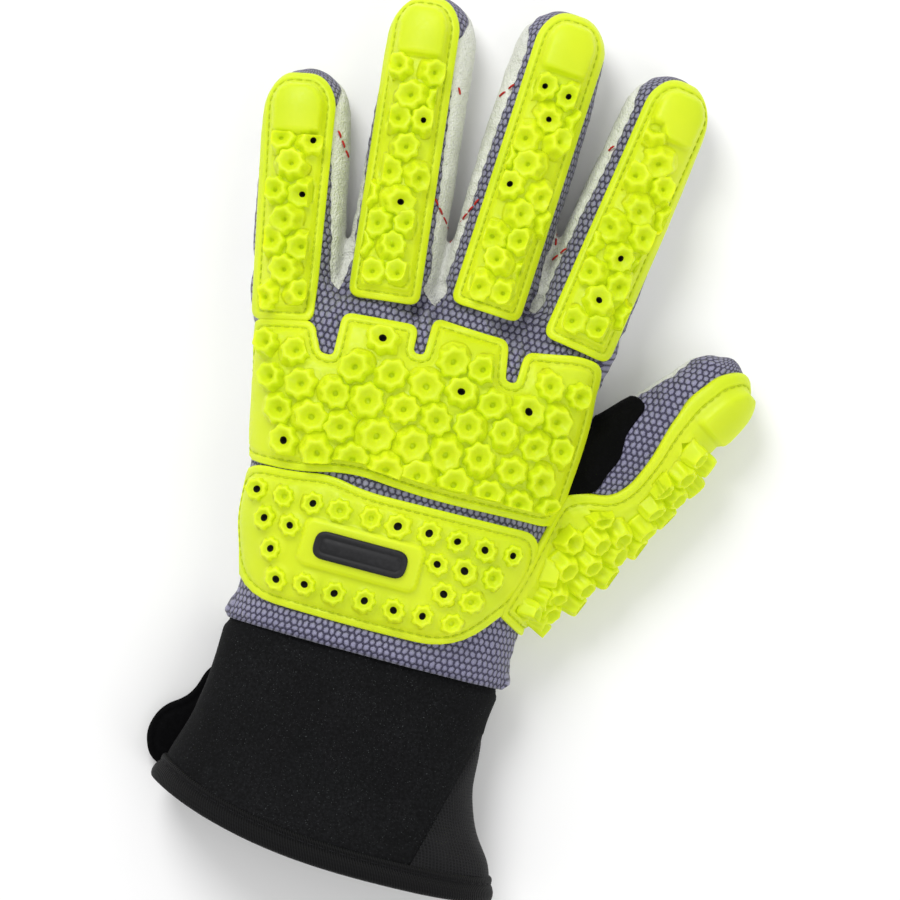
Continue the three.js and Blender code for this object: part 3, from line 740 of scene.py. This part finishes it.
def boss_field(places, mapper, border, base, tall, lean, spread, push, hole, shaded_hole_share):
    """All bosses of a guard as one list of points and faces, and the faces painted dark with shade in their
    holes.
    """
    flat = np.array([(x, y) for x, y, _ in places])
    spots, _ = mapper(flat)
    reach = 2.5
    right, left, front, rear = (mapper(flat + step)[0] for step in
                                ([reach, 0], [-reach, 0], [0, reach], [0, -reach]))
    parts, dark = [], []
    for k, (x, y, radius) in enumerate(places):
        slope = unit(np.cross(right[k] - left[k], front[k] - rear[k]))
        tilt = rng.uniform(-spread, spread, 2)
        leaning = mapper.across * (tilt[0] + push) + mapper.along * tilt[1]
        normal = unit(slope * lean + mapper.up * (1 - lean) + leaning)
        along = unit(mapper.along - normal * (mapper.along @ normal))
        across = np.cross(along, normal)
        centre = np.array([x, y])

        def cut(points):
            world = points + centre
            out = ~inside(border, world)
            if out.any():
                world[out] = nearest_on(border, world[out])[0]
            return world - centre

        lobes = int(rng.choice([7, 7, 8]))
        rings = boss(radius, tall * rng.uniform(0.9, 1.08), lobes, rng.uniform(0, 6.28), hole, cut)
        points = spots[k] + normal * base
        points = points + rings[..., :1] * across + rings[..., 1:2] * along + rings[..., 2:] * normal
        verts, faces = closed_loft(points)
        parts.append((verts, [f[::-1] for f in faces]))
        # painted shade: a share of the bosses get their funnel's lowest rings and floor painted dark, for the
        # shade deep in the hole over the dark cloth
        shaded_hole = rng.random() < shaded_hole_share
        dark += [shaded_hole and in_funnel(face) for face in range(len(faces))]
    return *join_lists(parts), dark


def lattice(border, rows, start=0.0, margin=0.0, bend=1e6, full=0.0, full_above=1e6, keep_out=None):
    """Places of bosses in rows, every other row shifted by half a step.

    bend draws them closer at the sides. Above full_above, a boss keeps full times its radius from the border.
    """
    across, along, x0, y0, radius = rows
    y0 = start + y0
    lo, hi = border.min(0), border.max(0)
    places = []
    for j in range(-2, int((hi[1] - y0) / along) + 3):
        for i in range(int(lo[0] * 1.3 / across) - 3, int(hi[0] * 1.3 / across) + 3):
            turn = (x0 + (i + (j % 2) / 2) * across) / bend
            if abs(turn) > 1.3:
                continue
            x = bend * math.sin(turn) + rng.uniform(-0.35, 0.35)
            y = y0 + j * along + rng.uniform(-0.35, 0.35)
            size = radius * rng.uniform(0.92, 1.08) * math.cos(turn) ** 0.5
            point = np.array([[x, y]])
            gap = nearest_on(border, point)[1][0]
            edge = gap if inside(border, point)[0] else -gap
            if edge < -margin or (edge < full * size and y > full_above):
                continue
            if keep_out is not None and round_box_distance(point, keep_out)[0] > -size * 0.55:
                continue
            places.append((x, y, size))
    return places


# Materials

def material(name):
    """A new material, its node tree and its shader."""
    made = bpy.data.materials.new(name)
    made.use_nodes = True
    return made, made.node_tree, made.node_tree.nodes["Principled BSDF"]


def put(tree, socket, value):
    """Links a socket to another one, or sets its constant."""
    if isinstance(value, bpy.types.NodeSocket):
        tree.links.new(value, socket)
    else:
        socket.default_value = value


def add(tree, kind, **settings):
    """A node with settings, and values or links for its inputs given as in_NAME or in_0."""
    n = tree.nodes.new("ShaderNode" + kind)
    for key, value in settings.items():
        if not key.startswith("in_"):
            setattr(n, key, value)
    for key, value in settings.items():
        if key.startswith("in_"):
            slot = key[3:]
            put(tree, n.inputs[int(slot)] if slot.isdigit() else n.inputs[slot.replace("_", " ")], value)
    return n


def dress(tree, shader, **inputs):
    """Values or links for a shader's inputs, with _ for each space of a name."""
    for name, value in inputs.items():
        put(tree, shader.inputs[name.replace("_", " ")], value)


def maths(tree, operation, a, b=0.0, c=0.0):
    return add(tree, "Math", operation=operation, in_0=a, in_1=b, in_2=c).outputs[0]


def vector(tree, operation, a, b=(0, 0, 0), c=(0, 0, 0)):
    return add(tree, "VectorMath", operation=operation, in_0=a, in_1=b, in_2=c).outputs[0]


def ramp(tree, value, low_value, high_value, low_out=0.0, high_out=1.0):
    return add(tree, "MapRange", interpolation_type="SMOOTHSTEP", in_0=value, in_1=low_value, in_2=high_value,
               in_3=low_out, in_4=high_out).outputs[0]


def mix(tree, factor, a, b):
    return add(tree, "Mix", data_type="RGBA", in_0=factor, in_6=a, in_7=b).outputs[2]


def grain(tree, where, scale, detail, roughness=0.5):
    return add(tree, "TexNoise", in_Vector=where, in_Scale=scale, in_Detail=detail,
               in_Roughness=roughness).outputs["Fac"]


def bump(tree, height, strength, distance):
    return add(tree, "Bump", in_Strength=strength, in_Distance=distance, in_Height=height).outputs[0]


def wave(tree, value, pitch):
    """A sine with its pitch in millimetres."""
    return maths(tree, "SINE", maths(tree, "MULTIPLY", value, 2 * math.pi / pitch))


def object_place(tree):
    """Places in the object's own metres."""
    return add(tree, "TexCoord").outputs["Object"]


def weave_place(tree):
    """The flat coordinates of a cloth, in millimetres."""
    return add(tree, "Attribute", attribute_name="weave").outputs["Vector"]


def hex_edge(tree, cell):
    """The distance to the nearest line of a hexagonal grid whose cells are one wide."""
    half, low_corner, flat = (0.5, 0.866, 1.0), (-0.5, -0.866, -1.0), (1, 1, 0)
    a, b = (vector(tree, "MULTIPLY", vector(tree, "WRAP", place, half, low_corner), flat)
            for place in (cell, vector(tree, "ADD", cell, half)))
    far_a, far_b = (add(tree, "VectorMath", operation="DOT_PRODUCT", in_0=v, in_1=v).outputs["Value"]
                    for v in (a, b))
    nearer = maths(tree, "LESS_THAN", far_b, far_a)
    chosen = add(tree, "Mix", data_type="VECTOR", in_0=nearer, in_4=a, in_5=b).outputs[1]
    parts = add(tree, "SeparateXYZ", in_0=vector(tree, "ABSOLUTE", chosen))
    x, y = parts.outputs[0], parts.outputs[1]
    slant = maths(tree, "MULTIPLY_ADD", y, 0.866, maths(tree, "MULTIPLY", x, 0.5))
    return maths(tree, "SUBTRACT", 0.5, maths(tree, "MAXIMUM", x, slant))


def mesh_material():
    """Honeycomb knit: pale cells that stand up between dark lines."""
    made, tree, shader = material("honeycomb_mesh")
    weave = weave_place(tree)
    wobble = add(tree, "TexNoise", in_Vector=weave, in_Scale=0.28, in_Detail=2.5, in_Roughness=0.6)
    shift = vector(tree, "MULTIPLY_ADD", wobble.outputs["Color"], (1.5, 1.5, 0), (-0.75, -0.75, 0))
    moved = vector(tree, "ADD", weave, shift)
    edge = hex_edge(tree, vector(tree, "MULTIPLY", moved, (1 / MESH_PITCH, 0.86 / MESH_PITCH, 0)))
    knit = grain(tree, weave, 3.2, 2.0)
    patches = grain(tree, weave, 0.05, 2.0)
    thread = grain(tree, weave, 5.5, 1.0)
    pale = mix(tree, ramp(tree, knit, 0.3, 0.7), (0.20, 0.195, 0.30, 1), (0.33, 0.32, 0.47, 1))
    pale = mix(tree, ramp(tree, patches, 0.35, 0.7, 0.0, 0.35), pale, (0.15, 0.145, 0.235, 1))
    dark = mix(tree, ramp(tree, thread, 0.52, 0.62), (0.014, 0.012, 0.038, 1), (0.11, 0.10, 0.19, 1))
    height = maths(tree, "MULTIPLY_ADD", knit, 0.25, ramp(tree, edge, 0.0, 0.34))
    dress(tree, shader, Base_Color=mix(tree, ramp(tree, edge, 0.09, 0.19), dark, pale), Roughness=0.72,
          Normal=bump(tree, height, 0.9, 0.0006), Sheen_Weight=0.25, Sheen_Roughness=0.4)
    return made


def guard_material():
    """Soft moulded rubber in a bright yellow-green, with a faint glow of its own colour: painted light that
    lifts its shaded parts, partly as its fluorescent pigment would.
    """
    made, tree, shader = material("guard_rubber")
    where = object_place(tree)
    clouds = grain(tree, where, 38.0, 3.0)
    fine = grain(tree, where, 900.0, 3.0)
    base = mix(tree, ramp(tree, clouds, 0.35, 0.68), (0.475, 0.585, 0.003, 1), (0.535, 0.625, 0.006, 1))
    # the emission is painted light: a faint even glow that lifts the rubber's shade and flattens its shading
    dress(tree, shader, Base_Color=base, Roughness=ramp(tree, fine, 0.3, 0.7, 0.42, 0.56),
          Normal=bump(tree, fine, 0.12, 0.0002), Subsurface_Weight=0.75, Subsurface_Radius=(0.9, 1.0, 0.12),
          Subsurface_Scale=0.003, Specular_IOR_Level=0.38, Emission_Color=(0.72, 0.87, 0.012, 1),
          Emission_Strength=0.21)
    return made


def plain_material(name, colour, rough, scale, strength, specular=0.3, colour_b=None, specks=0.0):
    """One colour with a fine grain in its shade and its surface."""
    made, tree, shader = material(name)
    where = object_place(tree)
    fine = grain(tree, where, scale, 4.0, 0.65)
    wide = grain(tree, where, 45.0, 3.0)
    second = colour_b or tuple(c * 1.9 for c in colour)
    shade = mix(tree, ramp(tree, fine, 0.35, 0.7), (*colour, 1), (*second, 1))
    shade = mix(tree, ramp(tree, wide, 0.3, 0.75, 0.0, 0.4), shade, (*[c * 0.6 for c in colour], 1))
    if specks:
        dots = grain(tree, where, 2900.0, 1.0)
        shade = mix(tree, ramp(tree, dots, 0.68, 0.80, 0.0, specks), shade, (0.09, 0.10, 0.10, 1))
    dress(tree, shader, Base_Color=shade, Roughness=ramp(tree, fine, 0.3, 0.7, rough - 0.06, rough + 0.08),
          Normal=bump(tree, fine, strength, 0.0003), Specular_IOR_Level=specular)
    return made


def leather_material():
    """Off-white grain leather: small soft pebbles and faint wide shades."""
    made, tree, shader = material("white_leather")
    where = object_place(tree)
    pebble = add(tree, "TexVoronoi", feature="F1", in_Vector=where, in_Scale=1500.0).outputs["Distance"]
    fine = grain(tree, where, 900.0, 4.0)
    crease = grain(tree, where, 260.0, 5.0, 0.6)
    wide = grain(tree, where, 60.0, 3.0)
    base = mix(tree, ramp(tree, wide, 0.3, 0.7), (0.68, 0.69, 0.64, 1), (0.80, 0.81, 0.76, 1))
    base = mix(tree, ramp(tree, fine, 0.42, 0.3, 0.0, 0.35), base, (0.40, 0.42, 0.37, 1))
    height = maths(tree, "ADD", maths(tree, "MULTIPLY", pebble, -0.7), maths(tree, "MULTIPLY", fine, 0.8))
    height = maths(tree, "ADD", height, maths(tree, "MULTIPLY", crease, 1.6))
    dress(tree, shader, Base_Color=base, Normal=bump(tree, height, 0.85, 0.0006), Roughness=0.7,
          Specular_IOR_Level=0.2)
    return made


def ribbed_material():
    """Woven tape: fine ribs across its length."""
    made, tree, shader = material("ribbed_tape")
    parts = add(tree, "SeparateXYZ", in_0=weave_place(tree))
    slant = maths(tree, "MULTIPLY_ADD", parts.outputs[1], 0.35, parts.outputs[0])
    height = maths(tree, "MULTIPLY_ADD", wave(tree, parts.outputs[1], 1.1), 0.3, wave(tree, slant, 0.85))
    # painted shade: the tape is darker in the low valleys between its ribs, after their bump height
    shade = mix(tree, ramp(tree, height, -1, 1.2), (0.0008, 0.0008, 0.001, 1), (0.0055, 0.0055, 0.006, 1))
    dress(tree, shader, Base_Color=shade, Normal=bump(tree, height, 0.5, 0.0003), Roughness=0.6,
          Specular_IOR_Level=0.15)
    return made


def gusset_material():
    """Thin stretch net: a fine dark grid with lighter threads."""
    made, tree, shader = material("stretch_net")
    weave = weave_place(tree)
    parts = add(tree, "SeparateXYZ", in_0=weave)
    net = maths(tree, "MAXIMUM", *(wave(tree, parts.outputs[k], 0.9) for k in (0, 1)))
    wide = grain(tree, weave, 0.12, 2.0)
    shade = mix(tree, ramp(tree, net, 0.0, 0.9), (0.001, 0.001, 0.0015, 1), (0.007, 0.007, 0.008, 1))
    shade = mix(tree, ramp(tree, wide, 0.45, 0.75, 0.0, 0.5), shade, (0.010, 0.010, 0.011, 1))
    dress(tree, shader, Base_Color=shade, Normal=bump(tree, net, 0.5, 0.0003), Roughness=0.65,
          Specular_IOR_Level=0.2)
    return made


LOOKS = {
    "mesh": mesh_material(),
    "guard": guard_material(),
    "leather": leather_material(),
    # dark of the cloth seen through a boss's hole, and painted shade deep in it
    "hole": plain_material("hole_cloth_and_shade", (0.004, 0.005, 0.002), 0.8, 500, 0.1),
    "thread": plain_material("guard_thread", (0.50, 0.62, 0.006), 0.6, 1500, 0.4,
                             colour_b=(0.60, 0.72, 0.01)),
    "red": plain_material("red_thread", (0.42, 0.012, 0.012), 0.6, 1800, 0.4, colour_b=(0.6, 0.03, 0.025)),
    "black_thread": plain_material("black_thread", (0.006, 0.006, 0.007), 0.6, 1500, 0.4, specular=0.15),
    "neoprene": plain_material("neoprene", (0.0022, 0.0023, 0.0026), 0.8, 1100, 0.5, specular=0.1,
                               colour_b=(0.0095, 0.0098, 0.0108), specks=0.8),
    "suede": plain_material("black_suede", (0.0022, 0.0022, 0.0025), 0.95, 650, 0.9, specular=0.06),
    "inlay": plain_material("inlay_rubber", (0.009, 0.009, 0.010), 0.55, 900, 0.2, specular=0.3),
    "tape": ribbed_material(),
    "net": gusset_material(),
}


def finish_piece(name, data, look, replaces=(), weave=None, dark=None):
    """Makes a piece, gives it its material and slot, and ties it to the frame."""
    ob = make_object(name, data[0], data[1])
    ob.data.materials.append(LOOKS[look])
    if dark is not None:
        ob.data.materials.append(LOOKS["hole"])
        ob.data.polygons.foreach_set("material_index", np.array(dark, int))
    if weave is not None:
        attribute = ob.data.attributes.new("weave", "FLOAT_VECTOR", "POINT")
        flat = np.column_stack([weave, np.zeros(len(weave))])
        attribute.data.foreach_set("vector", flat.ravel().astype(np.float32))
    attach(ob, "root")
    if replaces:
        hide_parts(*replaces)
    return ob


def shell(points, tris, thickness):
    """A wall with its outer face on a skin: the skin, its inner copy and the rim between them."""
    normal = unit(neighbour_mean(vertex_normals(points, tris), tris, len(points), 4))
    return sandwich(points, points - normal * thickness, tris)


# Cloth of the hand

def fold_height(points, over):
    """Folds of the leather, of the knit at the finger roots and the wrist, and the creases of FOLDS."""
    leather = smoothstep(0.5, -2.0, over)
    folds = 0.2 * leather * lumps(points * [1.0, 2.2, 1.0], 4.0, 3)
    slanted = points @ np.array([[0.8, 0.6, 0], [-0.25, 0.35, 0], [0, 0, 0.5]]).T
    roots = smoothstep(34, 42, points[:, 1]) * (1 - smoothstep(62, 74, points[:, 1]))
    wrist = 1 - smoothstep(-50, -42, points[:, 1])
    folds += (1 - leather) * (1.1 * roots + 0.6 * wrist) * lumps(slanted, 4.6, 8)
    for start, end, depth, width in FOLDS:
        a, b = np.array(start), np.array(end)
        t = np.clip((points[:, :2] - a) @ (b - a) / ((b - a) @ (b - a)), 0, 1)
        gap = np.linalg.norm(points[:, :2] - a - t[:, None] * (b - a), axis=1)
        folds += 1.8 * depth * bell(gap, width) * (points[:, 2] > SEAM_Z)
    return folds


def dress_body(points, tris):
    """Gives the skin its seam grooves, puckers, soft lumps and folds, and a rolled edge at the wrist.

    Depths and widths are millimetres, and each call of lumps has a size and a seed.
    """
    over = seam_height(points)
    groove = -0.55 * bell(over, 1.3)
    along = points @ np.array([0.35, 1.0, 0.1])
    pucker = 0.22 * np.sin(along * 2 * np.pi / 4.6) * bell(over, 3.2)
    soft = 0.55 * lumps(points, 17.0, 1) + 0.28 * lumps(points, 6.0, 2)
    roll = 1.3 * smoothstep(-47, -54, points[:, 1]) * (1 - smoothstep(-55.2, -57.0, points[:, 1]) * 1.5)
    clear = smoothstep(0.4, 3.0, points[:, 2])
    move = (groove + pucker + soft * 0.6 + fold_height(points, over) + roll) * clear
    moved = points + vertex_normals(points, tris) * move[:, None]
    moved[:, 2] = np.where(points[:, 2] < 0.4, points[:, 2], np.maximum(moved[:, 2], 0.0))
    return moved


def build_cloth(points, tris):
    """The knitted back and the leather palm, cut apart along the seam."""
    skin = dress_body(points, tris)
    skin, tris = split(skin, tris, skin[:, 1] - WRIST_Y)
    over = seam_height(skin)
    back, back_tris = split(skin, tris, over)
    palm, palm_tris = split(skin, tris, -over)
    palm[:, 2] = np.maximum(palm[:, 2], 0.0)
    walls = shell(back, back_tris, CLOTH)
    weave = weave_places(back)
    finish_piece("back_mesh_cloth", walls, "mesh", ["back_panel"], np.vstack([weave, weave]))
    walls = shell(palm, palm_tris, CLOTH)
    finish_piece("palm_leather_cloth", walls, "leather", ["palm_panel"])


# Guards

GUARD_PROFILE = [
    (0.0, 0.9), (0.18, 1.3), (0.55, 1.55), (1.7, FLANGE), (2.0, FLANGE - 0.1), (2.25, FLANGE - 0.5),
    (2.55, FLANGE - 0.5), (2.8, FLANGE - 0.1), (3.2, FLANGE + 0.02), (3.7, FIELD - 0.15), (4.3, FIELD),
]


def build_guard(name, corners, mapper, node, places, border, extra, bosses):
    """One guard: its sheet, its bosses and its sewing thread."""
    field = rounded(inset(corners, FIELD_INSET))

    def height(flat):
        """The extra height, with a fillet round each boss and a pit under its funnel."""
        rise = np.zeros(len(flat)) if extra is None else extra(flat)
        within = inside(field, flat)
        gaps = [np.hypot(flat[:, 0] - x, flat[:, 1] - y) for x, y, _ in places]
        for gap, (_, _, radius) in zip(gaps, places):
            fillet = FILLET_HEIGHT * np.exp(-np.maximum(gap - radius, 0) / FILLET_WIDTH)
            rise = np.maximum(rise, fillet * within)
        for gap, (_, _, radius) in zip(gaps, places):
            rise[(gap < radius * PIT_SHARE) & within] = -PIT_DEPTH
        return rise

    sheet = plate(corners, GUARD_PROFILE, mapper, spacing=0.95, extra=height, foot=-0.6, smooth_normals=10)
    finish_piece(name + "_sheet", sheet, "guard", [node])
    verts, faces, dark = boss_field(places, mapper, border, FIELD - 0.1, *bosses)
    finish_piece(name + "_bosses", (verts, faces), "guard", dark=dark)
    line = rounded(inset(corners, STITCH_INSET))
    thread = stitches(closed(line), mapper, FLANGE - 0.42)
    finish_piece(name + "_thread", thread, "thread")


def on_top(places, room):
    """The places that keep some room from the sides of the hand."""
    sides = [section(PALM, y)[:2] for _, y, _ in places]
    return [spot for spot, (centre, half) in zip(places, sides) if abs(spot[0] - centre) < half - room]


def smooth_block(box, top, softness, arch=None):
    """The extra height of a block on a guard: a rounded box, kept inside an arch where one is given."""

    def height(flat):
        depth = round_box_distance(flat, box)
        if arch is not None:
            depth = np.minimum(depth, np.where(inside(arch, flat), nearest_on(arch, flat)[1], -1))
        return (top - FIELD) * smoothstep(-0.1, softness, depth)

    return height


def build_wide_guards(tree):
    """The guards over the knuckles and the back of the hand, and the plain bar on the raised panel."""
    mapper = drape_from_above(tree, WIDE_FLOOR)
    border = rounded(inset(KNUCKLE_OUTLINE, FIELD_INSET))
    places = lattice(border, KNUCKLE_ROWS, margin=1.2, bend=HAND_BEND, full=0.1, full_above=3)
    places = on_top(places, room=4.6)
    build_guard("knuckle", KNUCKLE_OUTLINE, mapper, "knuckle_guard", places, border, None, KNUCKLE_BOSSES)
    border = rounded(inset(WRIST_OUTLINE, FIELD_INSET))
    places = lattice(border, WRIST_ROWS, bend=HAND_BEND, full=0.6, full_above=-1e6, keep_out=RAISED_BOX)
    places = on_top(places, room=3.4)
    panel = smooth_block(RAISED_BOX, RAISED_PANEL, 0.9)
    build_guard("wrist", WRIST_OUTLINE, mapper, "wrist_guard", places, border, panel, WRIST_BOSSES)
    profile = [(inset_by, INLAY_TOP + level) for inset_by, level in INLAY_PROFILE]
    bar = plate(INLAY_OUTLINE, profile, mapper, spacing=1.2, foot=RAISED_PANEL - 0.2, smooth_normals=10)
    finish_piece("inlay_bar", bar, "inlay", ["panel_inlay"])


def strip_outline(width, taper, start, end):
    """Outline of a finger guard with an arched end, narrower by the taper at its start."""
    half, radius = width / 2, 11
    foot = half - taper / 2
    return [
        (-foot, start, 3.5), (foot, start, 3.5), (half, end - radius * 0.62, radius * 0.7),
        (half - radius * 0.42, end, radius * 0.7), (-half + radius * 0.42, end, radius * 0.7),
        (-half, end - radius * 0.62, radius * 0.7),
    ]


def strip_field(width, taper, start, end):
    """Outline of a finger guard's bosses, square at the tip block."""
    half = width / 2 - FIELD_INSET
    foot = half - taper / 2
    return [(-foot, start + FIELD_INSET, 3), (foot, start + FIELD_INSET, 3), (half, end, 1), (-half, end, 1)]


def build_finger_guards(tree):
    """The guards of the fingers and the thumb, whose guard is rolled down towards the outside."""
    up = np.array([0, 0, 1.0])
    for finger, (start, end, width, taper, shift, lean, block) in FINGER_GUARDS.items():
        limb = FINGERS[finger]
        centre = float(section(limb, (start + end) / 2)[0])
        thumb = finger == "thumb"
        roll = math.radians(THUMB_ROLL if thumb else 0)
        tip = place(limb, end, centre + shift, THUMB_AXIS_Z if thumb else 0.0).reshape(3)
        along, side = axes(limb["angle"] + lean)
        across = side * math.cos(roll) - up * math.sin(roll)
        mapper = Drape(tree, tip - along * end, across, along, 0 if thumb else GUARD_FLOOR)
        half = width / 2 - FLANGE_WIDTH - 0.6
        top_y = end - FLANGE_WIDTH - 0.6
        box = (-half - 0.6, top_y - block, half + 0.6, top_y + 0.4, 2.6)
        corners = THUMB_OUTLINE if thumb else strip_outline(width, taper, start, end)
        arch = rounded(inset(corners, THUMB_BLOCK_INSET if thumb else BLOCK_INSET))
        tip_block = smooth_block(box, THUMB_BLOCK if thumb else TIP_BLOCK, 1.0, arch)
        if thumb:
            border = rounded(inset(corners, FIELD_INSET))
            places = lattice(border, THUMB_ROWS, start, margin=0.2)
            places = [p for p in places if p[1] < top_y - block - 2.6]
        else:
            border = rounded(strip_field(width, taper, start, top_y - block - 0.4))
            margin = 0.5 if finger == "little" else 1.7
            places = lattice(border, FINGER_ROWS, start, margin)
        node = "thumb_guard" if thumb else finger + "_finger_guard"
        build_guard(finger, corners, mapper, node, places, border, tip_block,
                    THUMB_BOSSES if thumb else FINGER_BOSSES)


# Cuff

def hem_y(turn):
    """Where the mouth of the cuff ends at each angle round it, lowest on the thumb's side of its middle."""
    x = oval(CUFF, turn, np.full(len(turn), MOUTH_Y))[:, 0]
    return MOUTH_LOW[1] + MOUTH_RISE * np.abs((x - MOUTH_LOW[0]) / MOUTH_REACH) ** 2.6


def past_gusset_seam(points):
    """How far points lie inside the gusset, from its seam and its top."""
    apex, foot = np.array(GUSSET_APEX), np.array(GUSSET_FOOT)
    edge = foot - apex
    across = np.array([-edge[1], edge[0]]) / np.linalg.norm(edge)
    return np.minimum((points[:, :2] - apex) @ across, GUSSET_APEX[1] - points[:, 1])


def build_cuff():
    """The cuff's back, palm side and gusset, cut from one oval tube, with its tape."""
    columns, rows = 260, 64
    turn = full_turn(columns)
    low_y = hem_y(turn) + 1.5
    rings = []
    for t in np.linspace(0, 1, rows):
        y = low_y + (WRIST_Y + 1.5 - low_y) * t
        ring = oval(CUFF, turn, y)
        tucked = smoothstep(*CUFF_TUCK, y)[:, None]
        rings.append(ring + (oval(CUFF, turn, y, -TUCK_DEPTH) - ring) * tucked)
    points = np.array(rings).reshape(-1, 3)
    quads = grid_faces(rows, columns)
    tris = np.vstack([quads[:, [0, 1, 2]], quads[:, [0, 2, 3]]])
    normal = vertex_normals(points, tris)
    wrinkle = 0.9 * lumps(points * [1.0, 0.7, 1.0], 26.0, 4) + 0.35 * lumps(points, 9.0, 5)
    points = points + normal * (wrinkle * smoothstep(0.4, 4.0, points[:, 2]))[:, None]
    points[:, 2] = np.maximum(points[:, 2], 0)
    groove = bell(past_gusset_seam(points), 0.9) * (points[:, 2] > SEAM_Z) + bell(points[:, 2] - SEAM_Z, 1.0)
    points = points - normal * (SEAM_GROOVE * groove)[:, None]
    over = points[:, 2] - SEAM_Z
    upper, upper_tris = split(points, tris, over)
    lower, lower_tris = split(points, tris, -over)
    gusset, gusset_tris = split(upper, upper_tris, past_gusset_seam(upper))
    back, back_tris = split(upper, upper_tris, -past_gusset_seam(upper))
    for name, wall in (("cuff_back", shell(back, back_tris, CUFF_WALL)),
                       ("cuff_palm", shell(lower, lower_tris, CUFF_WALL))):
        finish_piece(name + "_cloth", wall, "neoprene", [name])
    from_centre = gusset - CUFF_CENTRE
    net = np.stack([np.arctan2(from_centre[:, 2], from_centre[:, 0]) * NET_RADIUS, gusset[:, 1]], 1)
    wall = shell(gusset, gusset_tris, NET_WALL)
    finish_piece("cuff_gusset_net", wall, "net", ["cuff_gusset"], np.vstack([net, net]))
    build_tape(turn)


def build_tape(turn):
    """The ribbed tape folded round the mouth, with a line of stitches."""
    profile = [
        (7.6, 0.0), (7.55, 0.5), (7.2, 0.85), (6.5, 0.9), (6.0, 0.6), (5.6, 0.5), (5.2, 0.7), (4.5, 1.15),
        (3.4, 1.5), (2.2, 1.55), (1.1, 1.3), (0.3, 0.8), (-0.1, 0.0), (-0.3, -1.2), (-0.1, -2.6), (0.5, -3.3),
        (3.5, -3.5), (7.0, -3.4), (7.5, -3.0), (7.5, -2.4),
    ]
    base = hem_y(turn)
    rings = np.array([oval(CUFF, turn, base + d, h) for d, h in profile])
    rings[..., 2] = np.maximum(rings[..., 2], 0)
    columns, count = len(turn), len(profile)
    quads = grid_faces(count + 1, columns) % (count * columns)
    reach = np.cumsum([0] + [math.dist(a, b) for a, b in zip(profile, profile[1:])])
    arc = running_length(rings[3])
    weave = np.stack(np.broadcast_arrays(arc[None, :], reach[:, None]), -1).reshape(-1, 2)
    faces = [tuple(reversed(f)) for f in quads]
    finish_piece("hem_tape", (rings.reshape(-1, 3), faces), "tape", ["hem_binding"], weave)
    track = oval(CUFF, turn, base + HEM_STITCH_Y, 0.5)
    starts, ends = stitch_ends(closed(track), length=2.6, gap=0.7)
    ups = unit((starts - CUFF_CENTRE) * [1, 0, 1])
    thread = thread_loops(starts, ends, ups, HEM_STITCH, thick=0.22)
    finish_piece("hem_thread", thread, "black_thread")


def build_small_pieces(tree):
    """The patch at the crotch of the thumb, the red stitches and the pull tab."""
    def nap(flat):
        return 0.25 * lumps(np.column_stack([flat, flat[:, 0] * 0]), 5, 6)

    high_map, low_map = drape_from_above(tree, PATCH_FLOOR), drape_from_above(tree, RED_THREAD_FLOOR)
    patch = plate(PATCH_OUTLINE, PATCH_PROFILE, high_map, spacing=1.3, extra=nap, smooth_normals=10)
    finish_piece("thumb_crotch_patch", patch, "suede", ["thumb_patch"])
    threads = [stitches(np.array(ends), low_map, height=0.25, length=2.3, gap=0.12, thick=0.36)
               for ends in RED_STITCHES]
    finish_piece("red_stitches", join_lists(threads), "red")
    tab = plate(TAB_OUTLINE, TAB_PROFILE, flat_map(TAB_Z), spacing=1.4, foot=0.3)
    finish_piece("side_pull_tab", tab, "suede", ["pull_tab"])


# Camera, floor and light

def stage_floor():
    """A pale floor just under the glove."""
    size, z = 3.0, -0.0006
    mesh = bpy.data.meshes.new("floor")
    corners = [(-size, -size, z), (size, -size, z), (size, size, z), (-size, size, z)]
    mesh.from_pydata(corners, [], [(0, 1, 2, 3)])
    ob = bpy.data.objects.new("floor", mesh)
    bpy.context.scene.collection.objects.link(ob)
    made, tree, shader = material("pale_floor")
    dress(tree, shader, Base_Color=(0.93, 0.93, 0.93, 1), Roughness=0.9, Specular_IOR_Level=0.1)
    mesh.materials.append(made)


def add_light(name, place_m, size, power):
    """A round lamp that points at the middle of the glove."""
    light = bpy.data.lights.new(name, "AREA")
    light.shape = "DISK"
    light.size = size
    light.energy = power
    ob = bpy.data.objects.new(name, light)
    ob.location = place_m
    ob.rotation_euler = (Vector((0, 0, 0.02)) - Vector(place_m)).to_track_quat("-Z", "Y").to_euler()
    bpy.context.scene.collection.objects.link(ob)


def stage_light():
    world = bpy.data.worlds.new("studio")
    bpy.context.scene.world = world
    world.use_nodes = True
    dress(world.node_tree, world.node_tree.nodes["Background"], Color=(1, 1, 1, 1), Strength=0.72)
    add_light("key", (-0.6, 0.8, 1.1), size=0.7, power=11)
    add_light("fill", (0.9, -0.4, 1.2), size=1.0, power=4)


def stage_camera():
    """The photo's view: from above, a long way off, with the glove turned in the frame."""
    distance = PHOTO_PIXELS * PHOTO_MM_PER_PIXEL * LENS / SENSOR
    camera = bpy.data.cameras.new("camera")
    camera.lens = LENS
    camera.sensor_width = SENSOR
    camera.clip_end = 20
    ob = bpy.data.objects.new("camera", camera)
    x, y = (PHOTO_MIDDLE[k] - ORIGIN[k] for k in (0, 1))
    ob.location = (x * MM, y * MM, (distance + VIEW_HEIGHT) * MM)
    ob.rotation_euler = (0, 0, math.radians(PHOTO_TURN))
    bpy.context.scene.collection.objects.link(ob)
    bpy.context.scene.camera = ob


stage_camera()
stage_floor()
stage_light()
bpy.context.scene.view_settings.view_transform = "Standard"
body_points, body_tris = build_body()
body_tree = BVHTree.FromPolygons(body_points.tolist(), body_tris.tolist(), all_triangles=True)
build_cloth(body_points, body_tris)
build_wide_guards(body_tree)
build_finger_guards(body_tree)
build_cuff()
build_small_pieces(body_tree)
